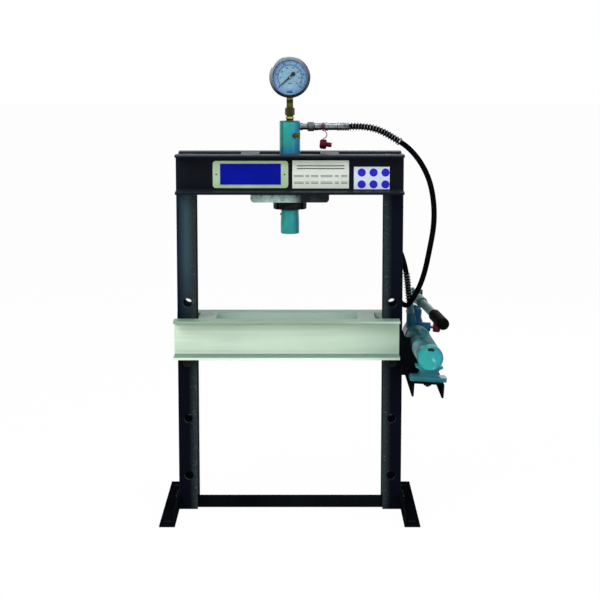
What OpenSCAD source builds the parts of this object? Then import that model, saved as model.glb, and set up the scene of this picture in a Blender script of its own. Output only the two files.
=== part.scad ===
// Bench-height H-frame hydraulic press with a hand pump, a bottle-type ram and a pressure gauge.
// Millimetres. +X is right, +Y is back, +Z is up, and the origin is on the floor under the ram.

/* [Frame] */
// Overall width over the webs of the two uprights
frame_w = 580; // [520:10:700]
// Height from the floor to the top of the beam
frame_h = 930; // [900:10:1000]
// Depth of the rolled channel of the uprights and the beam
channel_d = 100; // [96:2:110]
// Flange width of the rolled channel
channel_w = 48; // [44:1:54]
// Web thickness of the rolled channel
channel_web = 5.3; // [4.5:0.1:7]
// Flange thickness of the rolled channel at half its width
channel_flange = 7.5; // [7:0.5:10]
// Distance from the web's outer face to the centre of the pin holes
pin_inset = 26; // [22:1:30]
// Height of the lowest pin hole
pin_low = 91; // [80:1:110]
// Vertical pitch of the pin holes
pin_pitch = 152; // [140:1:156]
// Number of pin holes in each upright
pin_rows = 4; // [3:1:4]
// Width of each tie plate across the top of the beam
beam_tie_w = 47; // [30:1:70]
// Distance of each beam tie plate from the ram's axis
beam_tie_x = 102; // [80:1:140]
// Thickness of the beam tie plates
beam_tie_t = 8; // [6:1:10]

/* [Cylinder seat] */
// Width of the seat plate under the beam
seat_w = 200; // [160:5:240]
// Depth of the seat plate, front to back
seat_d = 140; // [120:5:180]
// Thickness of the seat plate
seat_t = 22; // [16:1:26]
// Corner radius of the seat plate's lower edge
seat_r = 9; // [5:1:14]
// Outer diameter of the ring nut
ring_nut_d = 86; // [76:1:100]
// Height of the ring nut
ring_nut_h = 22; // [16:1:26]

/* [Cylinder and ram] */
// Outer diameter of the cylinder
cylinder_d = 53; // [50:0.5:58]
// Bore of the cylinder
bore_d = 42; // [38:0.5:44]
// Height of the cylinder, end to end
cylinder_h = 226; // [215:1:240]
// Thickness of the solid upper end that holds the ports
cylinder_head_t = 46; // [44:1:50]
// Travel of the ram
ram_stroke = 125; // [90:5:125]
// Diameter of the ram rod
rod_d = 28; // [22:1:30]
// Thickness of the piston
piston_t = 16; // [12:1:16]
// Height of the guide bush in the mouth of the cylinder
guide_h = 14; // [12:1:15]
// Diameter of the press head
head_d = 48; // [42:1:52]
// Length of the press head
head_h = 62; // [50:1:75]
// Gap between the press head and the cylinder with the ram home
head_gap = 2; // [1:0.5:4]
// Wire diameter of the return spring
spring_wire = 2.8; // [2:0.2:3]
// Turns of the return spring
spring_turns = 8; // [6:1:8]

/* [Bed] */
// Length of the bed channels
bed_l = 580; // [540:10:660]
// Depth of the bed channels, bottom to top
bed_h = 100; // [80:2:120]
// Sideways offset of the bed on its pins
bed_shift = -8; // [-8:1:0]
// Side clearance between the bed and the uprights
bed_clear = 1; // [0.5:0.5:2]
// Length of each bed tie plate along the bed
bed_tie_w = 45; // [30:1:46]
// Clearance between the tie plates and the uprights' flanges
bed_tie_clear = 6; // [3:1:20]
// Thickness of the bed tie plates
bed_tie_t = 8; // [6:1:12]
// Diameter of the bed pins
pin_d = 22; // [18:1:24]
// Length of the bed pins
pin_l = 152; // [140:2:190]

/* [Feet] */
// Leg width of the foot angles
foot_leg = 40; // [36:1:50]
// Thickness of the foot angles
foot_t = 4; // [3:0.5:6]
// Length of the foot angles
foot_l = 440; // [400:10:500]
// Distance between the floor holes, front to back
floor_hole_span = 360; // [320:10:380]
// Diameter of the floor holes
floor_hole_d = 11; // [9:1:14]
// Height of the bar between the uprights
brace_h = 32; // [25:1:50]
// Thickness of the bar between the uprights
brace_t = 6; // [4:1:10]
// Height of the bar's lower edge above the floor
brace_z = 3; // [2:1:12]

/* [Plates] */
// Width of the name plate
name_plate_w = 192; // [150:1:200]
// Height of the name plate
name_plate_h = 69; // [60:1:72]
// Width of the data plate
data_plate_w = 144; // [120:1:150]
// Height of the data plate
data_plate_h = 71; // [60:1:72]
// Thickness of the name plate
name_plate_t = 1.2; // [0.8:0.1:2]
// Thickness of the data plate
data_plate_t = 1; // [0.8:0.1:2]
// Gap between the two plates
plate_gap = 10.5; // [1:0.5:15]

/* [Gauge] */
// Outer diameter of the gauge's bezel
bezel_d = 105; // [90:1:120]
// Wall between the bezel's outside and the case
bezel_wall = 2.5; // [2:0.25:3]
// Depth of the gauge, front to back
gauge_depth = 36; // [30:1:44]
// Height of the gauge's centre above the cylinder
gauge_rise = 111; // [108:1:125]
// Thickness of the gauge's window
lens_t = 2.5; // [2:0.5:3.5]
// Length of the needle from its centre to its tip
needle_l = 36; // [28:1:38]
// Angle of the needle at rest, clockwise from the top
needle_rest = 228; // [220:1:235]

/* [Quick coupler] */
// Drop of the coupler's axis below the top of the cylinder
coupler_drop = 15; // [13:1:17]
// Diameter of the nipple screwed into the cylinder
nipple_d = 16; // [14:0.5:18]
// Outer diameter of the knurled collar
collar_d = 24; // [22:1:28]
// Length of the knurled collar
collar_l = 18; // [14:1:20]
// Outer diameter of the crimped hose sleeves
sleeve_d = 21; // [19:0.5:23]

/* [Hose] */
// Outer diameter of the hose
hose_d = 14; // [12:0.5:15]
// Outer diameter of the spring guards
guard_d = 20.6; // [20:0.2:22]
// Pitch of the spring guards' turns
guard_pitch = 7.6; // [7:0.2:10]

/* [Pump] */
// Outer diameter of the reservoir tube
tank_d = 62; // [60:1:70]
// Wall of the reservoir tube
tank_wall = 3; // [2:0.5:5]
// Distance from the head's centre to the front of the end cap
tank_reach = 365; // [330:5:380]
// Height of the pump's axis above its tray
pump_axis_h = 60; // [58:1:66]
// Turn of the pump on its tray
pump_yaw = 2; // [0:0.5:4]
// Droop of the tray towards its free edge
tray_tilt = 3.5; // [0:0.5:5]
// Width of the tray
tray_w = 80; // [74:1:90]
// Length of the tray beyond the front of the pump's end cap
tray_over = 5; // [0:1:20]
// Depth of the tray's turned-down sides
tray_leg = 38; // [30:1:50]
// Sheet thickness of the tray and its stand-off
tray_t = 5; // [4:0.5:6]
// Height of the tray above the floor at its fixed edge
tray_z = 372; // [350:1:400]
// Diameter of the pump plunger
plunger_d = 14; // [12:1:16]
// Height of the lever's pivot above the pump's axis
pivot_h = 110; // [108:1:114]
// Distance from the plunger to the lever's pivot
pivot_back = 25; // [24:1:28]
// Diameter of the lever's pivot pin
pivot_d = 10; // [8:1:12]
// Length of the handle from the pivot to the end of the grip
handle_l = 346; // [320:2:400]
// Diameter of the handle tube
handle_d = 22; // [18:1:24]
// Diameter of the grip
grip_d = 31; // [28:1:36]
// Length of the grip
grip_l = 115; // [100:5:150]
// Fall of the handle below level at rest
handle_drop = 3.5; // [2:0.5:8]
// Depth of the handle's axis below the pivot
handle_low = 10; // [6:1:12]
// Sideways splay of the handle
handle_splay = 6.5; // [4:0.5:8]
// Diameter of the release valve's knob
knob_d = 27; // [22:1:30]
// Length of the release valve's knob
knob_l = 19; // [14:1:22]

/* [Fits] */
// Radial clearance of a running fit
run_fit = 0.05; // [0.03:0.01:0.08]
// Clearance between pieces that only pass each other
pass_fit = 0.3; // [0.2:0.05:0.5]

/* [Hidden] */

$fn = 64;
EPS = 0.01;

// Rolled channel: slope of the inner flange faces, root fillet and toe radius
flange_slope = 0.05;
root_r = 4;
toe_r = 3;

// Places on the frame
upright_face = channel_d / 2;
web_x = frame_w / 2;
pin_x = web_x - pin_inset;
bed_row = 2;
pin_z = pin_low + bed_row * pin_pitch;
beam_z = frame_h - channel_d;
pin_hole_d = pin_d + 1;

// Places on the cylinder
seat_z = beam_z - seat_t;
cyl_z = seat_z - ring_nut_h;
cyl_top = cyl_z + cylinder_h;
bore_top = cyl_top - cylinder_head_t;
guide_top = cyl_z + guide_h;
piston_z = bore_top - piston_t;
head_top = cyl_z - head_gap;
head_z = head_top - head_h;
head_socket = 40;
rod_spigot_d = 16;
wiper_d = rod_d + 8;
wiper_h = 5;
oilway_d = 8;
coupler_z = cyl_top - coupler_drop;
port_d = 14;
plug_z = coupler_z - 23;
plug_d = 15;
plug_turn = 48;
plug_depth = 9;
slot_start = 13;
slot_end = 88;
slot_depth = 4;
head_screw_d = 6;
head_screw_drop = 12;
seal_h = 5;
seal_depth = 3;
seal_z = 5;

// Places on the gauge
gauge_z = cyl_top + gauge_rise;
gauge_front = -gauge_depth * 0.55;
case_d = bezel_d - 2 * bezel_wall;
case_wall = 1.5;
bezel_l = 11;
dial_d = case_d - 2 * case_wall - 1;
dial_y = gauge_front + 10;
dial_t = 1;
needle_y = gauge_front + 7;
needle_t = 1;
spindle_d = 3;
adapter_h = 36;
stem_w = 17;
stem_foot = cyl_top + adapter_h;

// Places along the coupler
nipple_end = 67;
collar_x = 45;
coupler_end = 121;
sleeve_top_end = 152;
strap_x = 84;
strap_ring_t = 4;
strap_w = 5;
strap_t = 2;
coupler_body_d = 18;
coupler_core_d = 8;
cap_d = 25;
cap_plug_d = 12;
// the strap's loop takes two thirds of the room between the coupler and the beam
strap_r = (coupler_z - frame_h - coupler_body_d / 2 - cap_d) / 3;

// Places on the bed
bed_face = upright_face + bed_clear;
bed_z = pin_z + pin_d / 2 + pass_fit;
bed_tie_x = web_x - channel_w + bed_shift - bed_tie_clear - bed_tie_w / 2;

// Places on the feet
foot_bolt_y = 22;
foot_bolt_z = 23;
foot_bolt_d = 10;
floor_hole_x = web_x + foot_leg / 2;

// Places of the plates on the beam
plate_z = frame_h - 51.5;
plate_split = -4;
name_plate_x = plate_split - name_plate_w / 2;
data_plate_x = plate_split + plate_gap + data_plate_w / 2;

// Places on the pump, measured from its axis at the centre of the head
tray_x = web_x + 18;
tray_bend_r = 6;
standoff_t = 8;
standoff_rise = 86;
standoff_foot = 2;
standoff_bar = 12;
tray_step = 28;
standoff_reach = 40;
gusset_t = 6;
gusset_w = 26;
pump_u = 28;
pump_v = 165;
tray_front = pump_v - tank_reach - tray_over;
tray_rear = pump_v + 40;
collar_start = -48;
head_body_d = tank_d + 5;
tower_d = 34;
tower_u = -5;
tower_top = 68;
ear_t = 7;
ear_r = 12.5;
blade_t = 13;
gland_h = 10;
gland_d = 28;
clevis_z = tower_top + gland_h + 1.5;
clevis_d = 22;
crank_angle = 25;
link_d = 8;
link_h = pivot_h - pivot_back * tan(crank_angle);
link_play = 0.9;
valve_v = -40;
valve_w = 27;
valve_boss_end = 33;
stem_d = 8;
stem_start = 25.5;
knob_start = 41;
port_u = -21;
port_v = -26;
port_top = 60;
port_lean = 9.8;
port_bore_d = 12;
port_boss_h = 46;
sleeve_hex_h = 10;
sleeve_bottom_l = 26;
foot_w = 92;
foot_depth = 44;
foot_plate_h = 11;
cap_len = 22;
tank_front = -tank_reach + 10;
foot_stud_v = -tank_reach + 24;
foot_half = 36;
vent_d = 8;
vent_pocket = [18, 9, 5];
vent_up = 22;
stud_d = 10;
stud_depth = 12;
head_bolt_v = 30;
head_bolt_us = [-3, 28];
socket_start = 40;
socket_end = 88;
socket_depth = 32;

// Route of the hose's centre line, from the upper sleeve to the lower one
hose_route = [
    [152, 0, 997], [183.5, 0, 997], [214.5, -2, 992.5], [243.5, -4, 981.5], [270.5, -7, 966],
    [296.5, -11.5, 949], [318.5, -18.5, 928], [336.5, -26, 903.5], [350.5, -34, 876.5], [360, -42, 848],
    [365.5, -49, 818], [368, -55, 787], [367.5, -58, 756], [364.5, -55, 725], [360, -47, 695],
    [355.5, -37, 665.5], [350.5, -26.5, 636.5], [344, -15, 608], [335.5, -2, 581], [325.5, 15.5, 557],
    [317, 38, 536.5], [310, 65.5, 524], [303, 96, 520], [296.5, 126.5, 521.5], [289.5, 157, 525],
    [283, 187.5, 529], [276.5, 217, 536], [270.5, 244.5, 550], [265, 264.5, 573.5], [262.5, 272, 603.5],
    [263, 266.5, 634], [266.5, 248.5, 659], [273.5, 221.5, 673.5], [282, 192, 675], [291.5, 165, 663],
    [301, 146.5, 639.5], [308.5, 138.5, 610.5], [313.5, 138, 579.5], [316.96, 137.94, 548.15], [320.38, 138.13, 517.17]
];
// Length of each spring guard along the hose
guard_top_l = 140;
guard_bottom_l = 84;
guard_bore_d = hose_d + 2.6;

// ---------- shared shapes ----------

// Points on an arc about c, from angle a0 to angle a1
function arc(c, r, a0, a1, n = 6) =
    [for (i = [0:n]) c + r * [cos(a0 + (a1 - a0) * i / n), sin(a0 + (a1 - a0) * i / n)]];

// Upper half of the rolled channel's outline, web on the Y axis and flanges towards +X
function channel_half(d, w, web, flange) =
    let (s = atan(flange_slope))
    let (toe_x = w - toe_r)
    let (root_x = web + root_r)
    let (toe_y = d / 2 - flange - (w / 2 - toe_x) * flange_slope)
    let (root_y = d / 2 - flange - (w / 2 - root_x) * flange_slope)
    concat(
        [[0, d / 2], [w, d / 2]],
        arc([toe_x, toe_y + toe_r / cos(s)], toe_r, 0, s - 90, 4),
        arc([root_x, root_y - root_r / cos(s)], root_r, 90 + s, 180)
    );

module channel_outline(d) {
    half = channel_half(d, channel_w, channel_web, channel_flange);
    last = len(half) - 1;
    polygon(concat(half, [for (i = [last:-1:0]) [half[i].x, -half[i].y]]));
}

// Channel lying along X, centred, with its web's back at y = 0 and its flanges towards +Y
module lying_channel(length, d) {
    translate([-length / 2, 0, 0])
        rotate([90, 0, 90]) linear_extrude(length) channel_outline(d);
}

// Rectangle with rounded corners, centred
module rounded_outline(w, h, r) {
    polygon(concat(
        arc([w / 2 - r, h / 2 - r], r, 0, 90), arc([r - w / 2, h / 2 - r], r, 90, 180),
        arc([r - w / 2, r - h / 2], r, 180, 270), arc([w / 2 - r, r - h / 2], r, 270, 360)
    ));
}

// Upright plate or bar centred on X, from its lower edge
module slab(size) {
    translate([-size.x / 2, -size.y / 2, 0]) cube(size);
}

// Cylinder along +Y from y0 to y1
module rod_y(d, y0, y1) {
    translate([0, y0, 0]) rotate([-90, 0, 0]) cylinder(d = d, h = y1 - y0);
}

// Cylinder along +X from x0 to x1
module rod_x(d, x0, x1) {
    translate([x0, 0, 0]) rotate([0, 90, 0]) cylinder(d = d, h = x1 - x0);
}

// Hexagonal bar along Z with its corners turned off at both ends
module hex_bar(flats, h) {
    corner = flats / cos(30);
    intersection() {
        cylinder(d = corner, h = h, $fn = 6);
        rotate_extrude() polygon([
            [0, 0], [flats / 2, 0], [corner / 2, h * 0.12], [corner / 2, h * 0.88],
            [flats / 2, h], [0, h]
        ]);
    }
}

// Hexagon-headed bolt along +X with a nut, gripping from x = 0 to x = grip
module bolt_x(d, grip) {
    head_h = d * 0.65;
    rotate([0, 90, 0]) {
        translate([0, 0, -head_h]) hex_bar(1.7 * d, head_h);
        translate([0, 0, -EPS]) cylinder(d = d, h = grip + 1.1 * d, $fn = 32);
        translate([0, 0, grip]) difference() {
            hex_bar(1.7 * d, 0.8 * d);
            translate([0, 0, -1]) cylinder(d = d - 2 * EPS, h = d + 2, $fn = 32);
        }
    }
}

// Sweep of a round section along a list of points
function unit(v) = v / norm(v);
function tangents(p) =
    [for (i = [0:len(p) - 1]) unit(p[min(i + 1, len(p) - 1)] - p[max(i - 1, 0)])];
function carried(t, i, n) =
    i >= len(t) ? [] : let (m = unit(n - (n * t[i]) * t[i])) concat([m], carried(t, i + 1, m));
function ring(c, t, m, r, sides) =
    [for (k = [0:sides - 1]) c + r * (cos(360 * k / sides) * m + sin(360 * k / sides) * cross(t, m))];

// A point of the line through p, at i plus a fraction
function point_at(p, s) =
    let (i = min(floor(s), len(p) - 2))
    p[i] + (p[i + 1] - p[i]) * (s - i);

function wall_faces(rings, sides, closed) = [
    for (j = [0:rings - (closed ? 1 : 2)]) for (k = [0:sides - 1])
        let (n = (j + 1) % rings)
        let (q = (k + 1) % sides)
        [j * sides + k, n * sides + k, n * sides + q, j * sides + q]
];

module swept_rod(points, r, sides) {
    t = tangents(points);
    m = carried(t, 0, [0, 1, 0]);
    rings = len(points);
    verts = [for (i = [0:rings - 1]) each ring(points[i], t[i], m[i], r, sides)];
    caps = [[for (k = [0:sides - 1]) k], [for (k = [sides - 1:-1:0]) (rings - 1) * sides + k]];
    polyhedron(verts, concat(wall_faces(rings, sides, false), caps), convexity = 6);
}

// Hollow sleeve swept along points, its outer radius taken from the list radii
module swept_sleeve(points, radii, bore_r, sides) {
    t = tangents(points);
    m = carried(t, 0, [0, 1, 0]);
    last = len(points) - 1;
    outer = [for (i = [0:last]) ring(points[i], t[i], m[i], radii[i], sides)];
    inner = [for (i = [last:-1:0]) if (i == last || i == 0 || i % 3 == 0)
        ring(points[i], t[i], m[i], bore_r, sides)];
    rings = concat(outer, inner);
    verts = [for (r = rings) each r];
    polyhedron(verts, wall_faces(len(rings), sides, true), convexity = 8);
}

// ---------- frame ----------

module upright(side) {
    translate([side * web_x, 0, 0]) mirror([side > 0 ? 1 : 0, 0, 0]) difference() {
        linear_extrude(frame_h - 4) channel_outline(channel_d);
        for (i = [0:pin_rows - 1])
            translate([pin_inset, 0, pin_low + i * pin_pitch])
                rod_y(pin_hole_d, -channel_d, channel_d);
        for (y = [-foot_bolt_y, foot_bolt_y])
            translate([0, y, foot_bolt_z])
                rod_x(foot_bolt_d + 1, -5, channel_web + 5);
    }
}
module left_upright() { color("#14161f") upright(-1); }
module right_upright() { color("#14161f") upright(1); }

module beam_channel(side) {
    translate([0, side * upright_face, frame_h - channel_d / 2])
        mirror([0, side < 0 ? 1 : 0, 0]) lying_channel(frame_w, channel_d);
}
module beam_channel_front() { color("#14161f") beam_channel(-1); }
module beam_channel_rear() { color("#14161f") beam_channel(1); }

module beam_ties() {
    color("#2a2f3b") for (x = [-beam_tie_x, beam_tie_x])
        translate([x, 0, frame_h - beam_tie_t])
            slab([beam_tie_w, 2 * upright_face, beam_tie_t]);
}

module cylinder_seat() {
    half = seat_w / 2;
    color("#3c454d") difference() {
        translate([0, seat_d / 2, seat_z]) rotate([90, 0, 0]) linear_extrude(seat_d)
            polygon(concat(
                [[-half, seat_t], [-half, seat_r]],
                arc([-half + seat_r, seat_r], seat_r, 180, 270),
                arc([half - seat_r, seat_r], seat_r, 270, 360),
                [[half, seat_t]]
            ));
        translate([0, 0, seat_z - 1]) cylinder(d = cylinder_d + 2 * pass_fit, h = seat_t + 2);
    }
}

// Angle along Y with its upright leg against the post and its flat leg outwards
module foot(side) {
    bend = foot_t;
    translate([side * web_x, 0, 0]) mirror([side < 0 ? 1 : 0, 0, 0]) difference() {
        translate([0, foot_l / 2, 0]) rotate([90, 0, 0]) linear_extrude(foot_l)
            polygon(concat(
                [[0, 0], [foot_leg, 0], [foot_leg, foot_t]],
                arc([foot_t + bend, foot_t + bend], bend, 270, 180, 4),
                [[foot_t, foot_leg], [0, foot_leg]]
            ));
        for (y = [-floor_hole_span / 2, floor_hole_span / 2])
            translate([foot_leg / 2, y, -1]) cylinder(d = floor_hole_d, h = foot_t + 2);
        for (y = [-foot_bolt_y, foot_bolt_y])
            translate([0, y, foot_bolt_z]) rod_x(foot_bolt_d + 1, -1, foot_t + 1);
    }
}
module foot_left() { color("#1b1d24") foot(-1); }
module foot_right() { color("#1b1d24") foot(1); }

module foot_bolts() {
    color("#23252b") for (side = [-1, 1]) for (y = [-foot_bolt_y, foot_bolt_y])
        translate([side * (web_x + foot_t), y, foot_bolt_z])
            mirror([side > 0 ? 1 : 0, 0, 0]) bolt_x(foot_bolt_d, foot_t + channel_web);
}

// Flat bar welded behind the front flanges of the uprights, clear of their root fillets
module cross_brace() {
    root = channel_web + root_r;
    flange_at_root = channel_flange + (channel_w / 2 - root) * flange_slope;
    color("#14161f") translate([0, -upright_face + flange_at_root + brace_t / 2, brace_z])
        slab([frame_w - 2 * root - 2, brace_t, brace_h]);
}

module name_plate() {
    color("#cfe6c0") translate([name_plate_x, -upright_face, plate_z])
        front_plate([name_plate_w, name_plate_h, name_plate_t], 8);
}
module data_plate() {
    color("#e8efe6") translate([data_plate_x, -upright_face, plate_z])
        front_plate([data_plate_w, data_plate_h, data_plate_t], 1);
}
// Plate on the outer side of the front beam web
module front_plate(size, r) {
    translate([0, -channel_web, 0]) rotate([90, 0, 0]) linear_extrude(size.z)
        rounded_outline(size.x, size.y, r);
}

// ---------- cylinder and ram ----------

module cylinder_body() {
    chamfer = 1.5;
    color("#2fa79b") translate([0, 0, cyl_z]) difference() {
        rotate_extrude() polygon([
            [0, 0], [cylinder_d / 2 - chamfer, 0], [cylinder_d / 2, chamfer],
            [cylinder_d / 2, cylinder_h - chamfer], [cylinder_d / 2 - chamfer, cylinder_h],
            [0, cylinder_h]
        ]);
        translate([0, 0, -1]) cylinder(d = bore_d, h = cylinder_h - cylinder_head_t + 1);
        translate([0, 0, bore_top - cyl_z - 1]) cylinder(d = oilway_d, h = cylinder_head_t + 2, $fn = 32);
        translate([0, 0, cylinder_h - 8]) cylinder(d = port_d, h = 9);
        translate([0, 0, coupler_z - cyl_z]) rod_x(port_d, 12, cylinder_d);
        translate([0, 0, coupler_z - cyl_z]) rod_x(oilway_d - 2, 0, cylinder_d);
        translate([0, 0, plug_z - cyl_z]) rotate([0, 0, plug_turn - 90])
            rod_x(plug_d, cylinder_d / 2 - plug_depth, cylinder_d);
        translate([0, 0, plug_z - cyl_z - plug_d / 2]) rotate([0, 0, slot_start - 90])
            rotate_extrude(angle = slot_end - slot_start)
                translate([cylinder_d / 2 - slot_depth, 0]) square([slot_depth + 5, plug_d]);
    }
}

module port_plug() {
    color("#8a7a2a") translate([0, 0, plug_z]) rotate([0, 0, plug_turn - 90]) difference() {
        rod_x(plug_d - 2 * run_fit, cylinder_d / 2 - plug_depth + run_fit, cylinder_d / 2 - 1.5);
        translate([cylinder_d / 2 - 6, 0, 0]) rotate([0, 90, 0]) cylinder(d = 7, h = 9, $fn = 6);
    }
}

module ring_nut() {
    slots = 4;
    slot_w = 9;
    slot_depth = 5;
    color("#111216") translate([0, 0, cyl_z]) difference() {
        rotate_extrude() polygon([
            [cylinder_d / 2 + run_fit, 0], [ring_nut_d / 2 - 2, 0], [ring_nut_d / 2, 2],
            [ring_nut_d / 2, ring_nut_h - 1], [ring_nut_d / 2 - 1, ring_nut_h],
            [cylinder_d / 2 + run_fit, ring_nut_h]
        ]);
        for (i = [0:slots - 1]) rotate([0, 0, 45 + 360 * i / slots])
            translate([ring_nut_d / 2 - slot_depth, -slot_w / 2, -1])
                cube([slot_depth + 5, slot_w, ring_nut_h + 2]);
    }
}

module guide_bush() {
    color("#8f8a6a") translate([0, 0, cyl_z]) difference() {
        cylinder(d = bore_d - 2 * run_fit, h = guide_h);
        translate([0, 0, -1]) cylinder(d = rod_d + 2 * run_fit, h = guide_h + 2);
        translate([0, 0, -1]) cylinder(d = wiper_d, h = wiper_h + 1);
    }
}

module rod_wiper() {
    color("#1a1a1a") translate([0, 0, cyl_z + 0.5]) difference() {
        cylinder(d = wiper_d - 2 * run_fit, h = wiper_h - 0.5);
        translate([0, 0, -1]) cylinder(d = rod_d + 2 * run_fit, h = wiper_h + 2);
    }
}

module piston() {
    color("#9a9da1") translate([0, 0, piston_z]) difference() {
        rotate_extrude() polygon([
            [rod_spigot_d / 2, 0], [bore_d / 2 - run_fit, 0], [bore_d / 2 - run_fit, seal_z],
            [bore_d / 2 - seal_depth, seal_z], [bore_d / 2 - seal_depth, seal_z + seal_h],
            [bore_d / 2 - run_fit, seal_z + seal_h], [bore_d / 2 - run_fit, piston_t - 1],
            [bore_d / 2 - 1, piston_t - 0.2], [rod_spigot_d / 2, piston_t - 0.2]
        ]);
    }
}

module piston_seal() {
    color("#1a1a1a") translate([0, 0, piston_z + seal_z + run_fit]) rotate_extrude() polygon([
        [bore_d / 2 - seal_depth + run_fit, 0], [bore_d / 2 - run_fit, 0],
        [bore_d / 2 - run_fit, seal_h - 2 * run_fit],
        [bore_d / 2 - seal_depth + run_fit, seal_h - 2 * run_fit]
    ]);
}

module ram_rod() {
    rod_foot = head_top - head_socket + run_fit;
    color("#b9bcc0") {
        translate([0, 0, rod_foot]) cylinder(d = rod_d, h = piston_z - rod_foot - run_fit);
        translate([0, 0, piston_z - 1])
            cylinder(d = rod_spigot_d - 2 * run_fit, h = piston_t + 0.6);
    }
}

module press_head() {
    top_d = head_d - 3;
    edge = 3;
    color("#2f9f9a") translate([0, 0, head_z]) difference() {
        rotate_extrude() polygon(concat(
            [[0, 0]], arc([head_d / 2 - edge, edge], edge, 270, 360),
            [[head_d / 2, head_h * 0.45], [top_d / 2, head_h - 2], [top_d / 2 - 1.5, head_h], [0, head_h]]
        ));
        translate([0, 0, head_h - head_socket]) cylinder(d = rod_d + 2 * run_fit, h = head_socket + 1);
        translate([0, 0, head_h - head_screw_drop]) rod_x(head_screw_d + 2 * run_fit, -head_d, 0);
    }
}

module head_screw() {
    color("#17181b") translate([0, 0, head_top - head_screw_drop]) difference() {
        rod_x(head_screw_d, -head_d / 2 - 1, -rod_d / 2 - 2 * run_fit);
        translate([-head_d / 2 - 2, 0, 0]) rotate([0, 90, 0]) cylinder(d = 3.4, h = 4, $fn = 6);
    }
}

// Open coil between the guide bush and the piston
module return_spring() {
    coil_r = (rod_d + bore_d) / 4;
    steps = 14;
    low = guide_top + spring_wire / 2 + 0.2;
    high = piston_z - spring_wire / 2 - 0.2;
    total = spring_turns * steps;
    pts = [for (i = [0:total])
        [coil_r * cos(360 * i / steps), coil_r * sin(360 * i / steps), low + (high - low) * i / total]];
    color("#7c8086") swept_rod(pts, spring_wire / 2, 6);
}

// ---------- gauge ----------

module gauge_adapter() {
    spigot = 8;
    r = port_d / 2 - run_fit;
    color("#8a7a2a") translate([0, 0, cyl_top]) difference() {
        union() {
            translate([0, 0, -spigot + 0.2]) cylinder(r = r, h = spigot + 2);
            rotate_extrude() polygon([
                [0, 0], [9.5, 0], [9.5, 3], [8.6, 4], [10, 4.5], [10.8, 6], [10.8, 9], [10, 10.5],
                [8.4, 11], [8.4, 14], [0, 14]
            ]);
            translate([0, 0, 13.5]) hex_bar(21.5, 20);
            translate([0, 0, 33]) cylinder(d = 17, h = adapter_h - 33);
        }
        translate([0, 0, -spigot - 1]) cylinder(d = 5, h = adapter_h + spigot + 2, $fn = 24);
        translate([0, 0, adapter_h - 12]) cylinder(d = 12, h = 13, $fn = 48);
    }
}

module gauge_stem() {
    spigot = 11;
    top = gauge_z - case_d / 2 - 0.1;
    color("#8a7a2a") difference() {
        union() {
            translate([0, 0, stem_foot - spigot]) cylinder(d = 12 - 2 * run_fit, h = spigot + 1);
            intersection() {
                translate([0, 0, stem_foot]) slab([stem_w, stem_w, top - stem_foot]);
                translate([0, 0, stem_foot]) cylinder(d = stem_w * 1.22, h = top - stem_foot);
            }
            translate([0, 0, top - 1]) cylinder(d = 12, h = 9);
        }
        translate([0, 0, stem_foot - spigot - 1]) cylinder(d = 4, h = spigot + 16, $fn = 24);
    }
}

module gauge_case() {
    back = gauge_front + gauge_depth;
    post_front = dial_y + dial_t + 1;
    color("#c9ccd0") translate([0, 0, gauge_z]) difference() {
        union() {
            difference() {
                rod_y(case_d, gauge_front + 2, back);
                rod_y(case_d - 2 * case_wall, gauge_front, back - case_wall);
            }
            rod_y(10, post_front, back - case_wall + EPS);
            rod_y(case_d * 0.6, back - EPS, back + 2);
        }
        rod_y(spindle_d + 2 * run_fit, gauge_front, post_front + 8);
        translate([0, 0, -case_d / 2 - 5]) cylinder(d = 12 + 2 * pass_fit, h = 12);
    }
}

module gauge_bezel() {
    case_r = case_d / 2 + run_fit;
    lip = 5;
    color("#d8dbdf") translate([0, gauge_front, gauge_z]) rotate([-90, 0, 0]) rotate_extrude()
        polygon(concat(
            [[case_r, bezel_l], [case_r, 2], [bezel_d / 2 - lip - bezel_wall, 2]],
            [[bezel_d / 2 - lip - bezel_wall, 0.6]],
            arc([bezel_d / 2 - 3, 3], 3, 270, 360, 5),
            [[bezel_d / 2, bezel_l - 1.5], [bezel_d / 2 - 1, bezel_l]]
        ));
}

module gauge_dial() {
    color("#b7cfe6") translate([0, 0, gauge_z]) difference() {
        rod_y(dial_d, dial_y, dial_y + dial_t);
        rod_y(spindle_d + 2, dial_y - 1, dial_y + dial_t + 1);
    }
}

module gauge_lens() {
    color("#dfeaf2") translate([0, 0, gauge_z])
        rod_y(case_d - 2 * case_wall - 0.4, gauge_front + 2.2, gauge_front + 2.2 + lens_t);
}

// Needle with its counterweight and spindle, its tip turned to the resting angle
module gauge_needle() {
    color("#101114") translate([0, 0, gauge_z]) {
        rotate([0, needle_rest, 0]) translate([0, needle_y + needle_t, 0]) rotate([90, 0, 0])
            linear_extrude(needle_t) {
                polygon([[-2.2, 0], [-0.5, needle_l], [0.5, needle_l], [2.2, 0]]);
                circle(r = 3.6, $fn = 32);
                polygon([[-1.6, 0], [-2.6, -10], [2.6, -10], [1.6, 0]]);
                translate([0, -12]) circle(r = 5.2, $fn = 32);
            }
        rod_y(spindle_d, needle_y, dial_y + dial_t + 7);
    }
}

// ---------- coupler and hose ----------

module coupler_nipple() {
    color("#8e9297") translate([0, 0, coupler_z]) difference() {
        union() {
            rod_x(port_d - 2 * run_fit, 12.2, cylinder_d / 2 + 1);
            rod_x(nipple_d + 3, cylinder_d / 2 + pass_fit, cylinder_d / 2 + 6);
            rod_x(nipple_d, cylinder_d / 2 + 5, nipple_end);
        }
        rod_x(oilway_d - 2, 10, nipple_end + 1);
    }
}

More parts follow.
